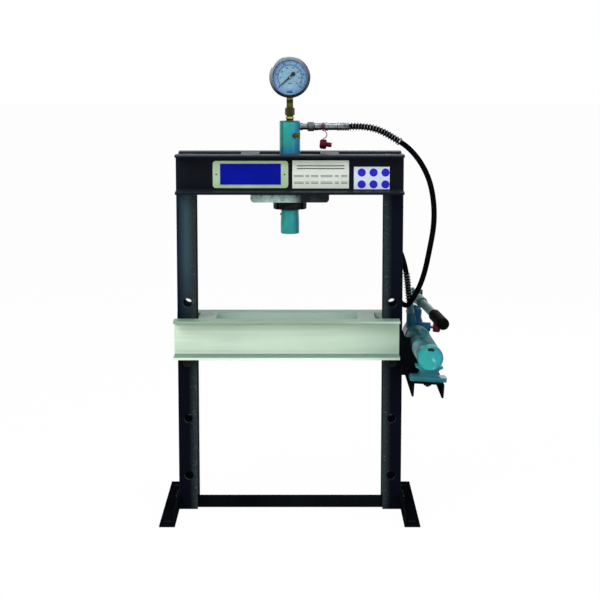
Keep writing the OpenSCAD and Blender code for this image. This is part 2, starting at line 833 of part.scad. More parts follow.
// Knurled collar: flutes cut round a sleeve that turns on the nipple
module coupler_collar() {
    flutes = 24;
    color("#9b9fa4") translate([collar_x, 0, coupler_z]) rotate([0, 90, 0]) difference() {
        rotate_extrude() polygon([
            [nipple_d / 2 + run_fit, 0], [collar_d / 2 - 2, 0], [collar_d / 2, 2],
            [collar_d / 2, collar_l - 2], [collar_d / 2 - 2, collar_l], [nipple_d / 2 + run_fit, collar_l]
        ]);
        for (i = [0:flutes - 1]) rotate([0, 0, 360 * i / flutes])
            translate([collar_d / 2 + 0.4, 0, 2.5]) cylinder(d = 2, h = collar_l - 5, $fn = 8);
    }
}

module coupler_body() {
    start = collar_x + collar_l + pass_fit;
    groove = coupler_body_d / 2 - 1;
    r = coupler_body_d / 2;
    color("#878b90") translate([start, 0, coupler_z]) rotate([0, 90, 0]) difference() {
        rotate_extrude() polygon([
            [0, 0], [r, 0], [r + 0.8, 1], [r + 0.8, 8], [r, 9], [r, strap_x - 3 - start],
            [groove, strap_x - 2 - start], [groove, strap_x + 4 - start],
            [r, strap_x + 5 - start], [r + 1.4, strap_x + 7 - start], [r + 1.4, strap_x + 14 - start],
            [r, strap_x + 15 - start], [r, coupler_end - start], [0, coupler_end - start]
        ]);
        translate([0, 0, -1]) cylinder(d = nipple_d + 2 * run_fit, h = nipple_end - start + 2);
        cylinder(d = coupler_core_d, h = 2 * coupler_end, center = true, $fn = 24);
    }
}

module cap_strap() {
    ring_r = coupler_body_d / 2 - 1 + pass_fit;
    hook_z = -ring_r - 1 - strap_r;
    color("#5a1030") translate([strap_x + 1 - strap_ring_t / 2, 0, coupler_z]) {
        rotate([0, 90, 0]) difference() {
            cylinder(r = ring_r + 2.2, h = strap_ring_t);
            translate([0, 0, -1]) cylinder(r = ring_r, h = strap_ring_t + 2);
        }
        translate([strap_ring_t / 2, strap_w / 2, hook_z]) rotate([90, 0, 0]) linear_extrude(strap_w)
            difference() {
                circle(r = strap_r);
                circle(r = strap_r - strap_t);
                translate([-2 * strap_r, -2 * strap_r]) square([2 * strap_r, 4 * strap_r]);
            }
    }
}

module dust_cap() {
    drop = coupler_body_d / 2 + 2 * strap_r + cap_d / 2 + pass_fit;
    half = cap_d / 2;
    edge = 6;
    color("#7a0f2a") translate([strap_x - 7.5, 0, coupler_z - drop]) rotate([0, 96, 0])
        rotate_extrude() polygon(concat(
            [[0, 0]], arc([half - edge, edge], edge, 270, 360),
            arc([half - 4, 14], 4, 0, 90, 4), [[cap_plug_d / 2, 18]],
            arc([cap_plug_d / 2 - 2, 29], 2, 0, 90, 4), [[0, 31]]
        ));
}

// Crimped sleeve round the hose's end, with pressed rings
function crimp_profile(l, r, bore) = concat(
    [[bore, 0], [r - 1.5, 0], [r, 1.5]],
    [for (i = [0:3]) each [[r, 5 + i * 6], [r - 1, 6 + i * 6], [r - 1, 8 + i * 6], [r, 9 + i * 6]]],
    [[r, l - 1], [r - 1, l], [bore, l]]
);

module hose_sleeve_top() {
    color("#a7abb0") translate([coupler_end, 0, coupler_z]) rotate([0, 90, 0])
        rotate_extrude() polygon(
            crimp_profile(sleeve_top_end - coupler_end, sleeve_d / 2, coupler_core_d / 2));
}

module hose() {
    color("#17181a") swept_rod(hose_route, hose_d / 2, 12);
}

// Spring guard: one raised ring for each turn, along part of the hose
module hose_guard(from, to, length) {
    turns = floor(length / guard_pitch);
    steps = turns * 3;
    pts = [for (i = [0:steps]) point_at(hose_route, from + (to - from) * i / steps)];
    radii = [for (i = [0:steps]) i % 3 == 0 ? guard_d / 2 - 1.2 : guard_d / 2];
    color("#2a2b2e") swept_sleeve(pts, radii, guard_bore_d / 2, 12);
}
module hose_guard_top() { hose_guard(0.02, 4.50, guard_top_l); }
module hose_guard_bottom() { hose_guard(36.29, 38.97, guard_bottom_l); }

module hose_sleeve_bottom() {
    color("#8e9297") at_pump() at_port() difference() {
        union() {
            translate([0, 0, -10]) cylinder(d = port_bore_d, h = 11);
            hex_bar(20, sleeve_hex_h);
            translate([0, 0, sleeve_hex_h - 1])
                cylinder(d = sleeve_d - 2, h = sleeve_bottom_l - sleeve_hex_h + 1);
        }
        translate([0, 0, -12]) cylinder(d = 5, h = sleeve_bottom_l + 20, $fn = 24);
    }
}

// ---------- bed ----------

module bed_channel(side) {
    translate([bed_shift, side * bed_face, bed_z + bed_h / 2])
        mirror([0, side < 0 ? 1 : 0, 0]) lying_channel(bed_l, bed_h);
}
module bed_channel_front() { color("#c5d9c3") bed_channel(-1); }
module bed_channel_rear() { color("#c5d9c3") bed_channel(1); }

module bed_ties() {
    color("#9fb5a8") for (x = [-bed_tie_x, bed_tie_x])
        translate([bed_shift + x, 0, bed_z + bed_h - bed_tie_t])
            slab([bed_tie_w, 2 * bed_face, bed_tie_t]);
}

module bed_pin(side) {
    chamfer = 2;
    r = pin_d / 2;
    color("#33363c") translate([side * pin_x, pin_l / 2, pin_z]) rotate([90, 0, 0])
        rotate_extrude() polygon([
            [0, 0], [r - chamfer, 0], [r, chamfer], [r, pin_l - chamfer], [r - chamfer, pin_l], [0, pin_l]
        ]);
}
module bed_pin_left() { bed_pin(-1); }
module bed_pin_right() { bed_pin(1); }

// ---------- pump ----------

// Origin at the tray's upper edge beside the frame, X across the tray
module on_tray() {
    translate([tray_x, 0, tray_z]) rotate([0, tray_tilt, 0]) children();
}
// Origin on the pump's axis at the centre of its head, Y towards the back
module at_pump() {
    on_tray() translate([pump_u, pump_v, pump_axis_h]) rotate([0, 0, pump_yaw]) children();
}
// Origin on the plunger's axis at the height of the pump's axis
module at_tower() {
    at_pump() translate([tower_u, 0, 0]) children();
}
// Origin at the top of the hose port, Z along the hose's sleeve
module at_port() {
    translate([port_u, port_v, port_top]) rotate([0, -port_lean, 0]) children();
}
// Along the handle: Z runs from beside the pivot to the grip's end
module along_handle() {
    translate([0, pivot_back, pivot_h - handle_low])
        rotate([0, 0, handle_splay]) rotate([90 + handle_drop, 0, 0]) children();
}

module pump_tray() {
    r = tray_bend_r;
    ri = tray_bend_r - tray_t;
    color("#101216") on_tray() difference() {
        translate([0, tray_rear, 0]) rotate([90, 0, 0]) linear_extrude(tray_rear - tray_front)
            polygon(concat(
                [[0, -tray_leg]], arc([r, -r], r, 180, 90), arc([tray_w - r, -r], r, 90, 0),
                [[tray_w, -tray_leg], [tray_w - tray_t, -tray_leg]],
                arc([tray_w - r, -r], ri, 0, 90), arc([r, -r], ri, 90, 180), [[tray_t, -tray_leg]]
            ));
        translate([pump_u, pump_v, -tray_t - 1]) rotate([0, 0, pump_yaw]) {
            translate([0, foot_stud_v, 0]) cylinder(d = stud_d + 1, h = tray_t + 2);
            for (u = head_bolt_us) translate([u, head_bolt_v, 0])
                cylinder(d = stud_d + 1, h = tray_t + 2);
        }
    }
}

// Back plate on the post, gussets that stand on the tray beside and under the reservoir,
// and a bar that carries the tray off the post
module tray_standoff() {
    plate_top = tray_z + standoff_rise;
    plate_foot = tray_z - standoff_bar - standoff_foot;
    half = upright_face - 3;
    reach = standoff_reach;
    plate_rise = plate_top - plate_foot;
    under = standoff_bar + standoff_foot + tray_step;
    front_gusset = [
        [0, 0], [gusset_w - 8, 0], [gusset_w + 6, under], [gusset_w - 8, under + 26],
        [gusset_w - 8, plate_rise - 2], [0, plate_rise - 2]
    ];
    rear_gusset = [[0, 0], [gusset_w - 12, 0], [gusset_w - 12, under], [2, plate_rise - 2], [0, plate_rise - 2]];
    color("#101216") {
        intersection() {
            on_tray() translate([-reach, -half, -standoff_bar]) cube([reach, 2 * half, standoff_bar - 1]);
            translate([web_x + standoff_t / 2, -channel_d, 0]) cube([2 * reach, 2 * channel_d, frame_h]);
        }
        translate([web_x, -upright_face, plate_foot])
            cube([standoff_t, channel_d, plate_top - plate_foot]);
        difference() {
            for (side = [-1, 1])
                translate([web_x + standoff_t / 2, side * (upright_face - 1), plate_foot + 1])
                    rotate([90, 0, 0]) translate([0, 0, side > 0 ? 0 : -gusset_t])
                        linear_extrude(gusset_t) polygon(side > 0 ? rear_gusset : front_gusset);
            on_tray() translate([-pass_fit, -channel_d, -channel_d])
                cube([tray_w, 2 * channel_d, channel_d + pass_fit]);
        }
    }
}

module pump_tank() {
    color("#3a9aa0") at_pump() difference() {
        rod_y(tank_d, tank_front, collar_start + 12);
        rod_y(tank_d - 2 * tank_wall, tank_front - 1, collar_start + 13);
    }
}

// Cast end cap with its neck and foot
module pump_end_cap() {
    cap_d = tank_d + 3;
    front = -tank_reach;
    fillet = 11;
    neck = 46;
    recess = 7;
    drop = pump_axis_h;
    color("#4cc0bf") at_pump() difference() {
        union() {
            translate([0, front, 0]) rotate([-90, 0, 0]) rotate_extrude() polygon([
                [0, 0], [cap_d / 2 - 3, 0], [cap_d / 2, 3], [cap_d / 2, cap_len], [0, cap_len]
            ]);
            translate([-neck / 2 - fillet, front + recess, -drop + foot_plate_h - EPS]) difference() {
                cube([neck + 2 * fillet, foot_depth - recess - 6, drop - foot_plate_h - cap_d / 2 + 12]);
                for (x = [0, neck + 2 * fillet])
                    translate([x, 0, fillet]) rod_y(2 * fillet, -1, foot_depth);
            }
            translate([0, front + 2 + foot_depth / 2, -drop]) linear_extrude(foot_plate_h)
                rounded_outline(foot_w, foot_depth, 8);
        }
        rod_y(tank_d + 2 * run_fit, tank_front, 0);
        translate([0, 0, vent_up]) rod_y(vent_d + 2 * run_fit, front - 1, tank_front + 1);
        translate([0, front + vent_pocket.z, vent_up]) rotate([90, 0, 0])
            linear_extrude(vent_pocket.z + 5) rounded_outline(vent_pocket.x, vent_pocket.y, 4);
        translate([0, foot_stud_v, -drop - 1]) cylinder(d = stud_d + 2 * run_fit, h = 15);
    }
}

module vent_plug() {
    color("#10282c") at_pump() translate([0, 0, vent_up]) difference() {
        union() {
            rod_y(vent_d, -tank_reach + 2.5, tank_front);
            translate([0, vent_pocket.z - tank_reach - 0.05, 0]) rotate([90, 0, 0])
                linear_extrude(vent_pocket.z - 2.2)
                    rounded_outline(vent_pocket.x - 0.4, vent_pocket.y - 0.4, 3.8);
        }
        translate([0, -tank_reach, 0]) rotate([-90, 0, 0]) cylinder(d = 4.5, h = 4, $fn = 6);
    }
}

module pump_head() {
    rear = 42;
    dome = 10;
    r = head_body_d / 2;
    color("#2f93a3") at_pump() difference() {
        union() {
            // barrel with a turned rear edge
            translate([0, collar_start, 0]) rotate([-90, 0, 0]) rotate_extrude() polygon(concat(
                [[0, 0], [r - 2, 0], [r, 2]],
                arc([r - dome, rear - collar_start - dome], dome, 0, 90), [[0, rear - collar_start]]
            ));
            // tower for the plunger
            translate([tower_u, 0, 0]) rotate_extrude() polygon([
                [0, 0], [tower_d / 2 + 8, 0], [tower_d / 2 + 8, 26], [tower_d / 2, 46],
                [tower_d / 2, tower_top - 2], [tower_d / 2 - 2, tower_top], [0, tower_top]
            ]);
            // ears for the lever's pivot
            for (u = [-blade_t / 2 - pass_fit - ear_t, blade_t / 2 + pass_fit])
                translate([tower_u + u, pivot_back, 0]) {
                    translate([0, 0, pivot_h]) rod_x(2 * ear_r, 0, ear_t);
                    translate([0, -ear_r, 10]) cube([ear_t, 2 * ear_r, pivot_h - 10]);
                }
            // wall that joins the ears behind the gland
            translate([tower_u - blade_t / 2 - ear_t, pivot_back - 10, 10])
                cube([blade_t + 2 * ear_t, ear_r + 9, clevis_z + 8 - 10]);
            // foot
            translate([-foot_half, collar_start + 8, -pump_axis_h])
                cube([2 * foot_half, rear - collar_start - 12, 14]);
            translate([-24, collar_start + 8, -pump_axis_h + 13])
                cube([48, rear - collar_start - 16, pump_axis_h - 13]);
            // release valve and hose port
            translate([0, valve_v, valve_w]) rod_x(24, 0, valve_boss_end);
            at_port() translate([0, 0, -port_boss_h]) cylinder(r1 = 16, r2 = 11, h = port_boss_h);
        }
        rod_y(tank_d + 2 * run_fit, collar_start - 10, collar_start + 12);
        translate([tower_u, 0, -10]) cylinder(d = plunger_d + 2 * run_fit, h = tower_top + 11);
        translate([tower_u, pivot_back, pivot_h]) rod_x(pivot_d + 2 * run_fit, -40, 40);
        translate([0, valve_v, valve_w]) rod_x(stem_d + 2 * run_fit, stem_start - 0.5, 60);
        at_port() translate([0, 0, -11]) cylinder(d = port_bore_d + 2 * run_fit, h = 12);
        for (u = head_bolt_us) translate([u, head_bolt_v, -pump_axis_h - 1])
            cylinder(d = stud_d + 2 * run_fit, h = 17);
    }
}

// Studs up into the castings with nuts under the tray
module pump_bolts() {
    places = [[0, foot_stud_v], for (u = head_bolt_us) [u, head_bolt_v]];
    nut_h = 0.8 * stud_d;
    below = nut_h + 3;
    color("#3a3d42") at_pump() for (p = places) translate([p.x, p.y, -pump_axis_h - tray_t]) {
        translate([0, 0, -nut_h]) hex_bar(1.7 * stud_d, nut_h);
        translate([0, 0, -below])
            cylinder(d = stud_d, h = below + tray_t + stud_depth, $fn = 32);
    }
}

module plunger_gland() {
    color("#8e9297") at_tower() translate([0, 0, tower_top]) difference() {
        cylinder(d = gland_d, h = gland_h);
        translate([0, 0, -1]) cylinder(d = plunger_d + 2 * run_fit, h = gland_h + 2);
        for (s = [-1, 1]) translate([s * gland_d / 2, 0, gland_h / 2 + 2])
            cube([4, gland_d, gland_h], center = true);
    }
}

// Plunger with a flat-sided forked top and its cross pin
module plunger() {
    fork_top = link_h + 6.5;
    fork_half = 7;
    fork_floor = clevis_z + 4.5;
    color("#b9bcc0") at_tower() {
        difference() {
            union() {
                translate([0, 0, -4]) cylinder(d = plunger_d, h = clevis_z + 5);
                intersection() {
                    translate([0, 0, clevis_z]) cylinder(d = clevis_d, h = fork_top - clevis_z);
                    translate([0, 0, clevis_z])
                        slab([clevis_d, 2 * fork_half, fork_top - clevis_z]);
                }
            }
            translate([0, 0, fork_floor]) slab([blade_t + 2 * pass_fit, 2 * clevis_d, fork_top]);
        }
        translate([0, 0, link_h]) rod_x(link_d, 1 - clevis_d / 2, clevis_d / 2 - 1);
    }
}

module pivot_pin() {
    half = blade_t / 2 + pass_fit + ear_t;
    color("#3a3d42") at_tower() translate([0, pivot_back, pivot_h]) {
        rod_x(pivot_d, -half - 3, half + 1);
        rod_x(pivot_d + 5, half + pass_fit, half + 4);
    }
}

// Cranked blade with the pivot eye, the plunger slot and the handle socket
module pump_lever() {
    eye_r = 9.5;
    slot_r = 7;
    nose_r = 8;
    nose_v = pivot_back - socket_start - 2;
    hole_r = link_d / 2 + link_play;
    slot_far = -pivot_back / cos(crank_angle) - 0.2;
    slot_near = -pivot_back + 0.2;
    color("#4a979c") at_tower() difference() {
        union() {
            translate([-blade_t / 2, 0, 0]) rotate([90, 0, 90]) linear_extrude(blade_t) hull() {
                translate([pivot_back, pivot_h]) circle(r = eye_r, $fn = 32);
                translate([0, link_h]) circle(r = slot_r, $fn = 32);
                translate([nose_v, pivot_h - handle_low - 2]) circle(r = nose_r, $fn = 32);
            }
            along_handle() translate([0, 0, socket_start])
                cylinder(d = handle_d + 6, h = socket_end - socket_start);
        }
        translate([0, pivot_back, pivot_h]) rod_x(pivot_d + 2 * run_fit, -30, 30);
        translate([0, pivot_back, pivot_h]) rotate([crank_angle, 0, 0]) {
            for (v = [slot_far, slot_near]) translate([0, v, 0]) rod_x(2 * hole_r, -30, 30);
            translate([-30, slot_far, -hole_r]) cube([60, slot_near - slot_far, 2 * hole_r]);
        }
        along_handle() translate([0, 0, socket_end - socket_depth])
            cylinder(d = handle_d + 2 * run_fit, h = socket_depth + 1);
    }
}

module handle_tube() {
    start = socket_end - socket_depth + 0.5;
    color("#5b8f98") at_tower() along_handle() difference() {
        translate([0, 0, start]) cylinder(d = handle_d, h = handle_l - 5 - start);
        translate([0, 0, start - 1]) cylinder(d = handle_d - 4, h = handle_l);
    }
}

module handle_grip() {
    r = grip_d / 2;
    bore = handle_d / 2 + run_fit;
    color("#1c1d1f") at_tower() along_handle() translate([0, 0, handle_l - grip_l])
        rotate_extrude() polygon(concat(
            [[bore, 0], [r - 4, 0]], arc([r - 4, 4], 4, 270, 360, 4),
            arc([r - 12, grip_l - 12], 12, 0, 90), [[0, grip_l], [0, grip_l - 4.5], [bore, grip_l - 4.5]]
        ));
}

module valve_stem() {
    color("#9b9fa4") at_pump() translate([0, valve_v, valve_w])
        rod_x(stem_d, stem_start, knob_start + knob_l - 4);
}

module valve_knob() {
    flutes = 10;
    color("#8a1238") at_pump() translate([knob_start, valve_v, valve_w]) rotate([0, 90, 0])
        difference() {
            rotate_extrude() polygon([
                [0, 0], [knob_d / 2 - 2, 0], [knob_d / 2, 2], [knob_d / 2, knob_l - 3],
                [knob_d / 2 - 3, knob_l], [0, knob_l]
            ]);
            for (i = [0:flutes - 1]) rotate([0, 0, 360 * i / flutes])
                translate([knob_d / 2 + 1.5, 0, -1]) cylinder(d = 6, h = knob_l + 2, $fn = 24);
            translate([0, 0, -1]) cylinder(d = stem_d + 2 * run_fit, h = knob_l - 3 + 0.2, $fn = 48);
        }
}

left_upright();
right_upright();
beam_channel_front();
beam_channel_rear();
beam_ties();
cylinder_seat();
foot_left();
foot_right();
foot_bolts();
cross_brace();
name_plate();
data_plate();
cylinder_body();
ring_nut();
guide_bush();
rod_wiper();
port_plug();
return_spring();
piston();
piston_seal();
ram_rod();
press_head();
head_screw();
gauge_adapter();
gauge_stem();
gauge_case();
gauge_bezel();
gauge_dial();
gauge_lens();
gauge_needle();
coupler_nipple();
coupler_collar();
coupler_body();
cap_strap();
dust_cap();
hose_sleeve_top();
hose_guard_top();
hose();
hose_guard_bottom();
hose_sleeve_bottom();
bed_channel_front();
bed_channel_rear();
bed_ties();
bed_pin_left();
bed_pin_right();
pump_tray();
tray_standoff();
pump_tank();
pump_end_cap();
vent_plug();
pump_head();
pump_bolts();
plunger_gland();
plunger();
pivot_pin();
pump_lever();
handle_tube();
handle_grip();
valve_stem();
valve_knob();
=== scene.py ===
"""Looks for a bench-height hydraulic press: enamelled frame, teal cylinder and pump, gauge, hose and bed."""

import math

import bmesh
import bpy
import numpy as np
from mathutils import Matrix, Vector


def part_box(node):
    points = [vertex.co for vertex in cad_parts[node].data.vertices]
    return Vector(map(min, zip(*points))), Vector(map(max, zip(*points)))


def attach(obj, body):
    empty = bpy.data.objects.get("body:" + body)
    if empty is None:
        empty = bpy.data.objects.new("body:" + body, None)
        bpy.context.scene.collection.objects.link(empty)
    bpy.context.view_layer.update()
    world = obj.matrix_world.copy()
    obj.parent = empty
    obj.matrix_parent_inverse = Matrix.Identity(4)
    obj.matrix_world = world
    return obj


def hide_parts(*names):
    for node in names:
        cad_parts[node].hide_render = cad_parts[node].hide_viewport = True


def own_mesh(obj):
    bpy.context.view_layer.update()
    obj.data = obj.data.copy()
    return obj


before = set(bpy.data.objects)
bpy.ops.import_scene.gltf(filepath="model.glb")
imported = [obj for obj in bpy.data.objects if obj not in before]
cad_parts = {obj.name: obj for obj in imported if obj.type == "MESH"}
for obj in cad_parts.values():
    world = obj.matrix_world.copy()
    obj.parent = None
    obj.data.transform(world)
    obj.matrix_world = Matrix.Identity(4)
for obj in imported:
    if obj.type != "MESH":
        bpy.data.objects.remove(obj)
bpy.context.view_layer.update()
MM = 0.001


def new_object(name, data):
    obj = bpy.data.objects.new(name, data)
    bpy.context.collection.objects.link(obj)
    return obj


# ---------- camera and view ----------

LENS_MM, SENSOR_MM = 101.9, 36
CAMERA_PLACE, DEGREES_DOWN = (0.026, -4.374, 1.2087), 8.6

camera_data = bpy.data.cameras.new("camera")
camera_data.lens, camera_data.sensor_width = LENS_MM, SENSOR_MM
camera = new_object("camera", camera_data)
camera.location = CAMERA_PLACE
camera.rotation_euler = (math.radians(90 - DEGREES_DOWN), 0, 0)
bpy.context.scene.camera = camera
bpy.context.scene.view_settings.view_transform = "Standard"


# ---------- nodes, and the marks that finishes share ----------

MATH, VECTOR, MAP, SPLIT = "ShaderNodeMath", "ShaderNodeVectorMath", "ShaderNodeMapRange", "ShaderNodeSeparateXYZ"


def linear(code):
    """An sRGB hex value as linear light."""
    values = [int(code[i:i + 2], 16) / 255 for i in (1, 3, 5)]
    return [v / 12.92 if v <= 0.04045 else ((v + 0.055) / 1.055) ** 2.4 for v in values] + [1.0]


def add(tree, kind, *values, out=0, **settings):
    """Adds a node, sets its own settings, then sets or links its inputs, given in order or in a dictionary.
    A hex value is a colour. Gives back one output, or all of them where out is None."""
    node = tree.nodes.new(kind)
    for name, value in settings.items():
        setattr(node, name, value)
    inputs = values[0] if values and isinstance(values[0], dict) else dict(enumerate(values))
    for name, value in inputs.items():
        if isinstance(value, bpy.types.NodeSocket):
            tree.links.new(value, node.inputs[name])
        elif value is not None:
            node.inputs[name].default_value = linear(value) if isinstance(value, str) else value
    return node.outputs if out is None else node.outputs[out]


def new_material(name):
    """A new material with its empty tree and its object coordinates."""
    material = bpy.data.materials.new(name)
    material.use_nodes = True
    material.node_tree.nodes.clear()
    return material, material.node_tree, add(material.node_tree, "ShaderNodeTexCoord", out="Object")


def finished(material, inputs):
    """Ends a material in one shader with these inputs."""
    shader = add(material.node_tree, "ShaderNodeBsdfPrincipled", inputs)
    add(material.node_tree, "ShaderNodeOutputMaterial", shader, out=None)
    return material


def mottle(tree, place, size_mm, low, high, detail=3.0, rough=0.55, stretch=None, to=(0.0, 1.0)):
    """Cloudy patches, the largest about size_mm across, drawn out where an axis is scaled down. They run from the
    first value of to, where the cloud is under low, to the second, where it is over high."""
    if stretch:
        place = add(tree, "ShaderNodeMapping", {"Vector": place, "Scale": stretch})
    cloud = add(tree, "ShaderNodeTexNoise",
                {"Vector": place, "Scale": 1000 / size_mm, "Detail": detail, "Roughness": rough})
    return add(tree, MAP, cloud, low, high, *to)


def grain(tree, place, size_mm, depth_mm, detail=3.0, rough=0.55, cut=(0.0, 1.0), stretch=None, under=None):
    """Small relief, size_mm across and depth_mm deep, laid over another relief where there is one."""
    height = mottle(tree, place, size_mm, *cut, detail, rough, stretch)
    return add(tree, "ShaderNodeBump", {"Height": height, "Distance": depth_mm * MM, "Normal": under})


def overlap(tree, *shares):
    """High only where every share is high."""
    whole, *others = shares
    for share in others:
        whole = add(tree, MATH, whole, share, operation="MULTIPLY")
    return whole


def lay(tree, colour, tint, *shares):
    """Lays a tint over a colour where the shares overlap."""
    return add(tree, "ShaderNodeMix", {0: overlap(tree, *shares), 6: colour, 7: tint}, out=2, data_type="RGBA")


def shade_along(tree, place, colour, leans):
    """Lays tints that grow along an axis over a colour. Each lean is (axis, from, to, tint)."""
    for axis, low, high, tint in leans:
        colour = lay(tree, colour, tint, add(tree, MAP, add(tree, SPLIT, place, out=axis), low, high))
    return colour


def near(tree, place, centre, zero_mm, one_mm):
    """A share that goes from 0 to 1 between two distances from a point."""
    away = add(tree, VECTOR, place, centre, operation="DISTANCE", out="Value")
    return add(tree, MAP, away, zero_mm * MM, one_mm * MM)


def sharp_edges(tree, width_mm):
    """Near 1 along sharp edges: how far a rounded normal leans from the flat one."""
    rounded = add(tree, "ShaderNodeBevel", {"Radius": width_mm * MM}, samples=4)
    flat = add(tree, "ShaderNodeNewGeometry", out="True Normal")
    return add(tree, MAP, add(tree, VECTOR, rounded, flat, operation="DOT_PRODUCT", out="Value"), 0.97, 0.75)


# ---------- finishes ----------

def brushed_enamel(name, base, faded, scuff, scuff_share=0.62, gloss=0.06, roughness=(0.34, 0.52), rings=(),
                   leans=(), streaks=None, inner=None, up_facing_tint=None):
    """Enamel brushed on hot-rolled steel: the eye sees faded patches, a little orange peel over mill-scale pits,
    scuffs, and bare rings where bolts have rubbed, each (centre, hole, washer). streaks is the tint of long
    roller marks along X. inner is (from, to, tint, speck), the strip of a post that faces the work: tint is a
    painted sheen there, and speck is speckled wear. The last argument is the tint of faces that look up."""
    material, tree, place = new_material(name)
    colour = lay(tree, base, faded, mottle(tree, place, 160, 0.35, 0.7, 2.0))
    if streaks:
        rolled = mottle(tree, place, 9, 0.42, 0.72, stretch=(0.03, 1.0, 1.0), to=(0.0, 0.7))
        colour = lay(tree, colour, streaks, rolled)
    colour = shade_along(tree, place, colour, leans)
    if inner:
        low, high, tint, speck = inner
        off_centre = add(tree, MATH, add(tree, SPLIT, place, out="X"), operation="ABSOLUTE")
        strip = add(tree, MAP, off_centre, low, high)
        colour = lay(tree, colour, tint, strip)
        colour = lay(tree, colour, speck, mottle(tree, place, 6, 0.58, 0.66, 4.0, 0.7), strip, 0.35)
    if up_facing_tint:
        facing = add(tree, "ShaderNodeNewGeometry", out="Normal")
        colour = shade_along(tree, facing, colour, [("Z", 0.5, 0.9, up_facing_tint)])
    # scuffs are drawn out upwards, the way that work is lifted past the frame
    scuffs = mottle(tree, place, 14, scuff_share, scuff_share + 0.1, 6.0, 0.7, (1.0, 1.0, 0.45))
    worn = overlap(tree, scuffs, mottle(tree, place, 90, 0.45, 0.65, 2.0), 0.55)
    edges = overlap(tree, sharp_edges(tree, 1.2), mottle(tree, place, 22, 0.42, 0.62, 4.0, to=(0.1, 0.8)))
    worn = add(tree, MATH, worn, edges, operation="MAXIMUM")
    for centre, hole, washer in rings:
        ring = overlap(tree, near(tree, place, centre, washer, washer - 2),
                       near(tree, place, centre, hole, hole + 0.5),
                       mottle(tree, place, 6, 0.35, 0.6, to=(0.25, 0.95)))
        worn = add(tree, MATH, worn, ring, operation="MAXIMUM")
    peel = grain(tree, place, 2.4, 0.05, 2.0)
    return finished(material, {
        "Base Color": lay(tree, colour, scuff, worn), "Specular IOR Level": gloss,
        "Roughness": mottle(tree, place, 30, 0.3, 0.7, 4.0, to=roughness),
        "Normal": grain(tree, place, 9, 0.12, 5.0, 0.75, (0.3, 0.55), under=peel)})


GRIME, CHIPPED, GLEAM = "#14282c", "#8f9a9c", "#8fe0da"
LENS_CLEAR = 0.86


def sprayed_enamel(name, light, deep, leans=(), grime=0.25, mark=None, edge=None, gloss=0.2, coat=0.06, rim=None,
                   pool=None, flow=None):
    """Gloss enamel sprayed on a turned or cast part: two close shades, a soft orange peel, grime of oil in patches
    and small chips. edge is a tint along sharp edges: where it is paler, it is partly paint drawn thin and partly a
    painted highlight. flow draws the two shades out into runs, which on the tube are painted reflection. rim is
    (centre, radius, tint), painted shade round the border of a round face that looks along Y, with painted
    highlights just inside it. pool is (centre, radius, tint), where oil lies. mark is (across, offset, width, tint),
    a long dark line: the points whose distance along the direction across is offset; on the tube it is a painted
    reflection."""
    material, tree, place = new_material(name)
    shades = mottle(tree, place, 26, 0.42, 0.6, stretch=flow) if flow else mottle(tree, place, 60, 0.35, 0.68)
    colour = shade_along(tree, place, lay(tree, light, deep, shades), leans)
    if edge:
        thin = mottle(tree, place, 12, 0.35, 0.6, to=(0.3, 0.9))
        colour = lay(tree, colour, edge, sharp_edges(tree, 1.6), thin)
    if rim:
        centre, radius, tint = rim
        flat = add(tree, VECTOR, place, (1, 0, 1), operation="MULTIPLY")
        colour = lay(tree, colour, tint, near(tree, flat, centre, radius - 7, radius - 1), 0.6)
        gleam = mottle(tree, place, 13, 0.6, 0.66, 2.0)
        colour = lay(tree, colour, GLEAM, gleam, near(tree, flat, centre, radius, radius - 10), 0.45)
    if pool:
        centre, radius, tint = pool
        colour = lay(tree, colour, tint, near(tree, place, centre, radius, 0.7 * radius))
    colour = lay(tree, colour, GRIME, mottle(tree, place, 34, 0.5, 0.74, 5.0, 0.65), grime)
    if mark:
        across, offset, width, tint = mark
        along = add(tree, VECTOR, place, across, operation="DOT_PRODUCT", out="Value")
        away = add(tree, MATH, add(tree, MATH, along, offset, operation="SUBTRACT"), operation="ABSOLUTE")
        line_band = add(tree, MAP, away, width * MM, 0.2 * width * MM)
        colour = lay(tree, colour, tint, line_band, mottle(tree, place, 18, 0.35, 0.6, to=(0.35, 0.9)))
    chips = mottle(tree, place, 7, 0.69, 0.72, 4.0, 0.7)
    colour = lay(tree, colour, CHIPPED, chips, mottle(tree, place, 50, 0.5, 0.62, 2.0), 0.7)
    return finished(material, {
        "Base Color": colour, "Roughness": mottle(tree, place, 25, 0.3, 0.7, 4.0, to=(0.24, 0.4)),
        "Normal": grain(tree, place, 12, 0.1, under=grain(tree, place, 2.0, 0.035, 2.0)),
        "Specular IOR Level": gloss, "Coat Weight": coat, "Coat Roughness": 0.12})


def turned_metal(name, colour, shade, axis="Z", line_mm=0.7, roughness=(0.22, 0.42), depth_mm=0.03, bands=()):
    """Metal turned in a lathe: tool lines across its axis, which drag the highlights out, and stains. A real
    lathe leaves lines about 0.1 mm apart, and these are as coarse as they need to be to show. bands are leans."""
    material, tree, place = new_material(name)
    lines = add(tree, "ShaderNodeTexNoise", {
        "W": add(tree, SPLIT, place, out=axis), "Scale": 1000 / line_mm, "Detail": 2.0}, noise_dimensions="1D")
    stained = lay(tree, colour, shade, mottle(tree, place, 16, 0.38, 0.7, 4.0, 0.6))
    return finished(material, {
        "Base Color": shade_along(tree, place, stained, bands), "Metallic": 1.0,
        "Roughness": mottle(tree, place, 5, 0.3, 0.7, to=roughness),
        "Normal": add(tree, "ShaderNodeBump", {"Height": lines, "Distance": depth_mm * MM})})


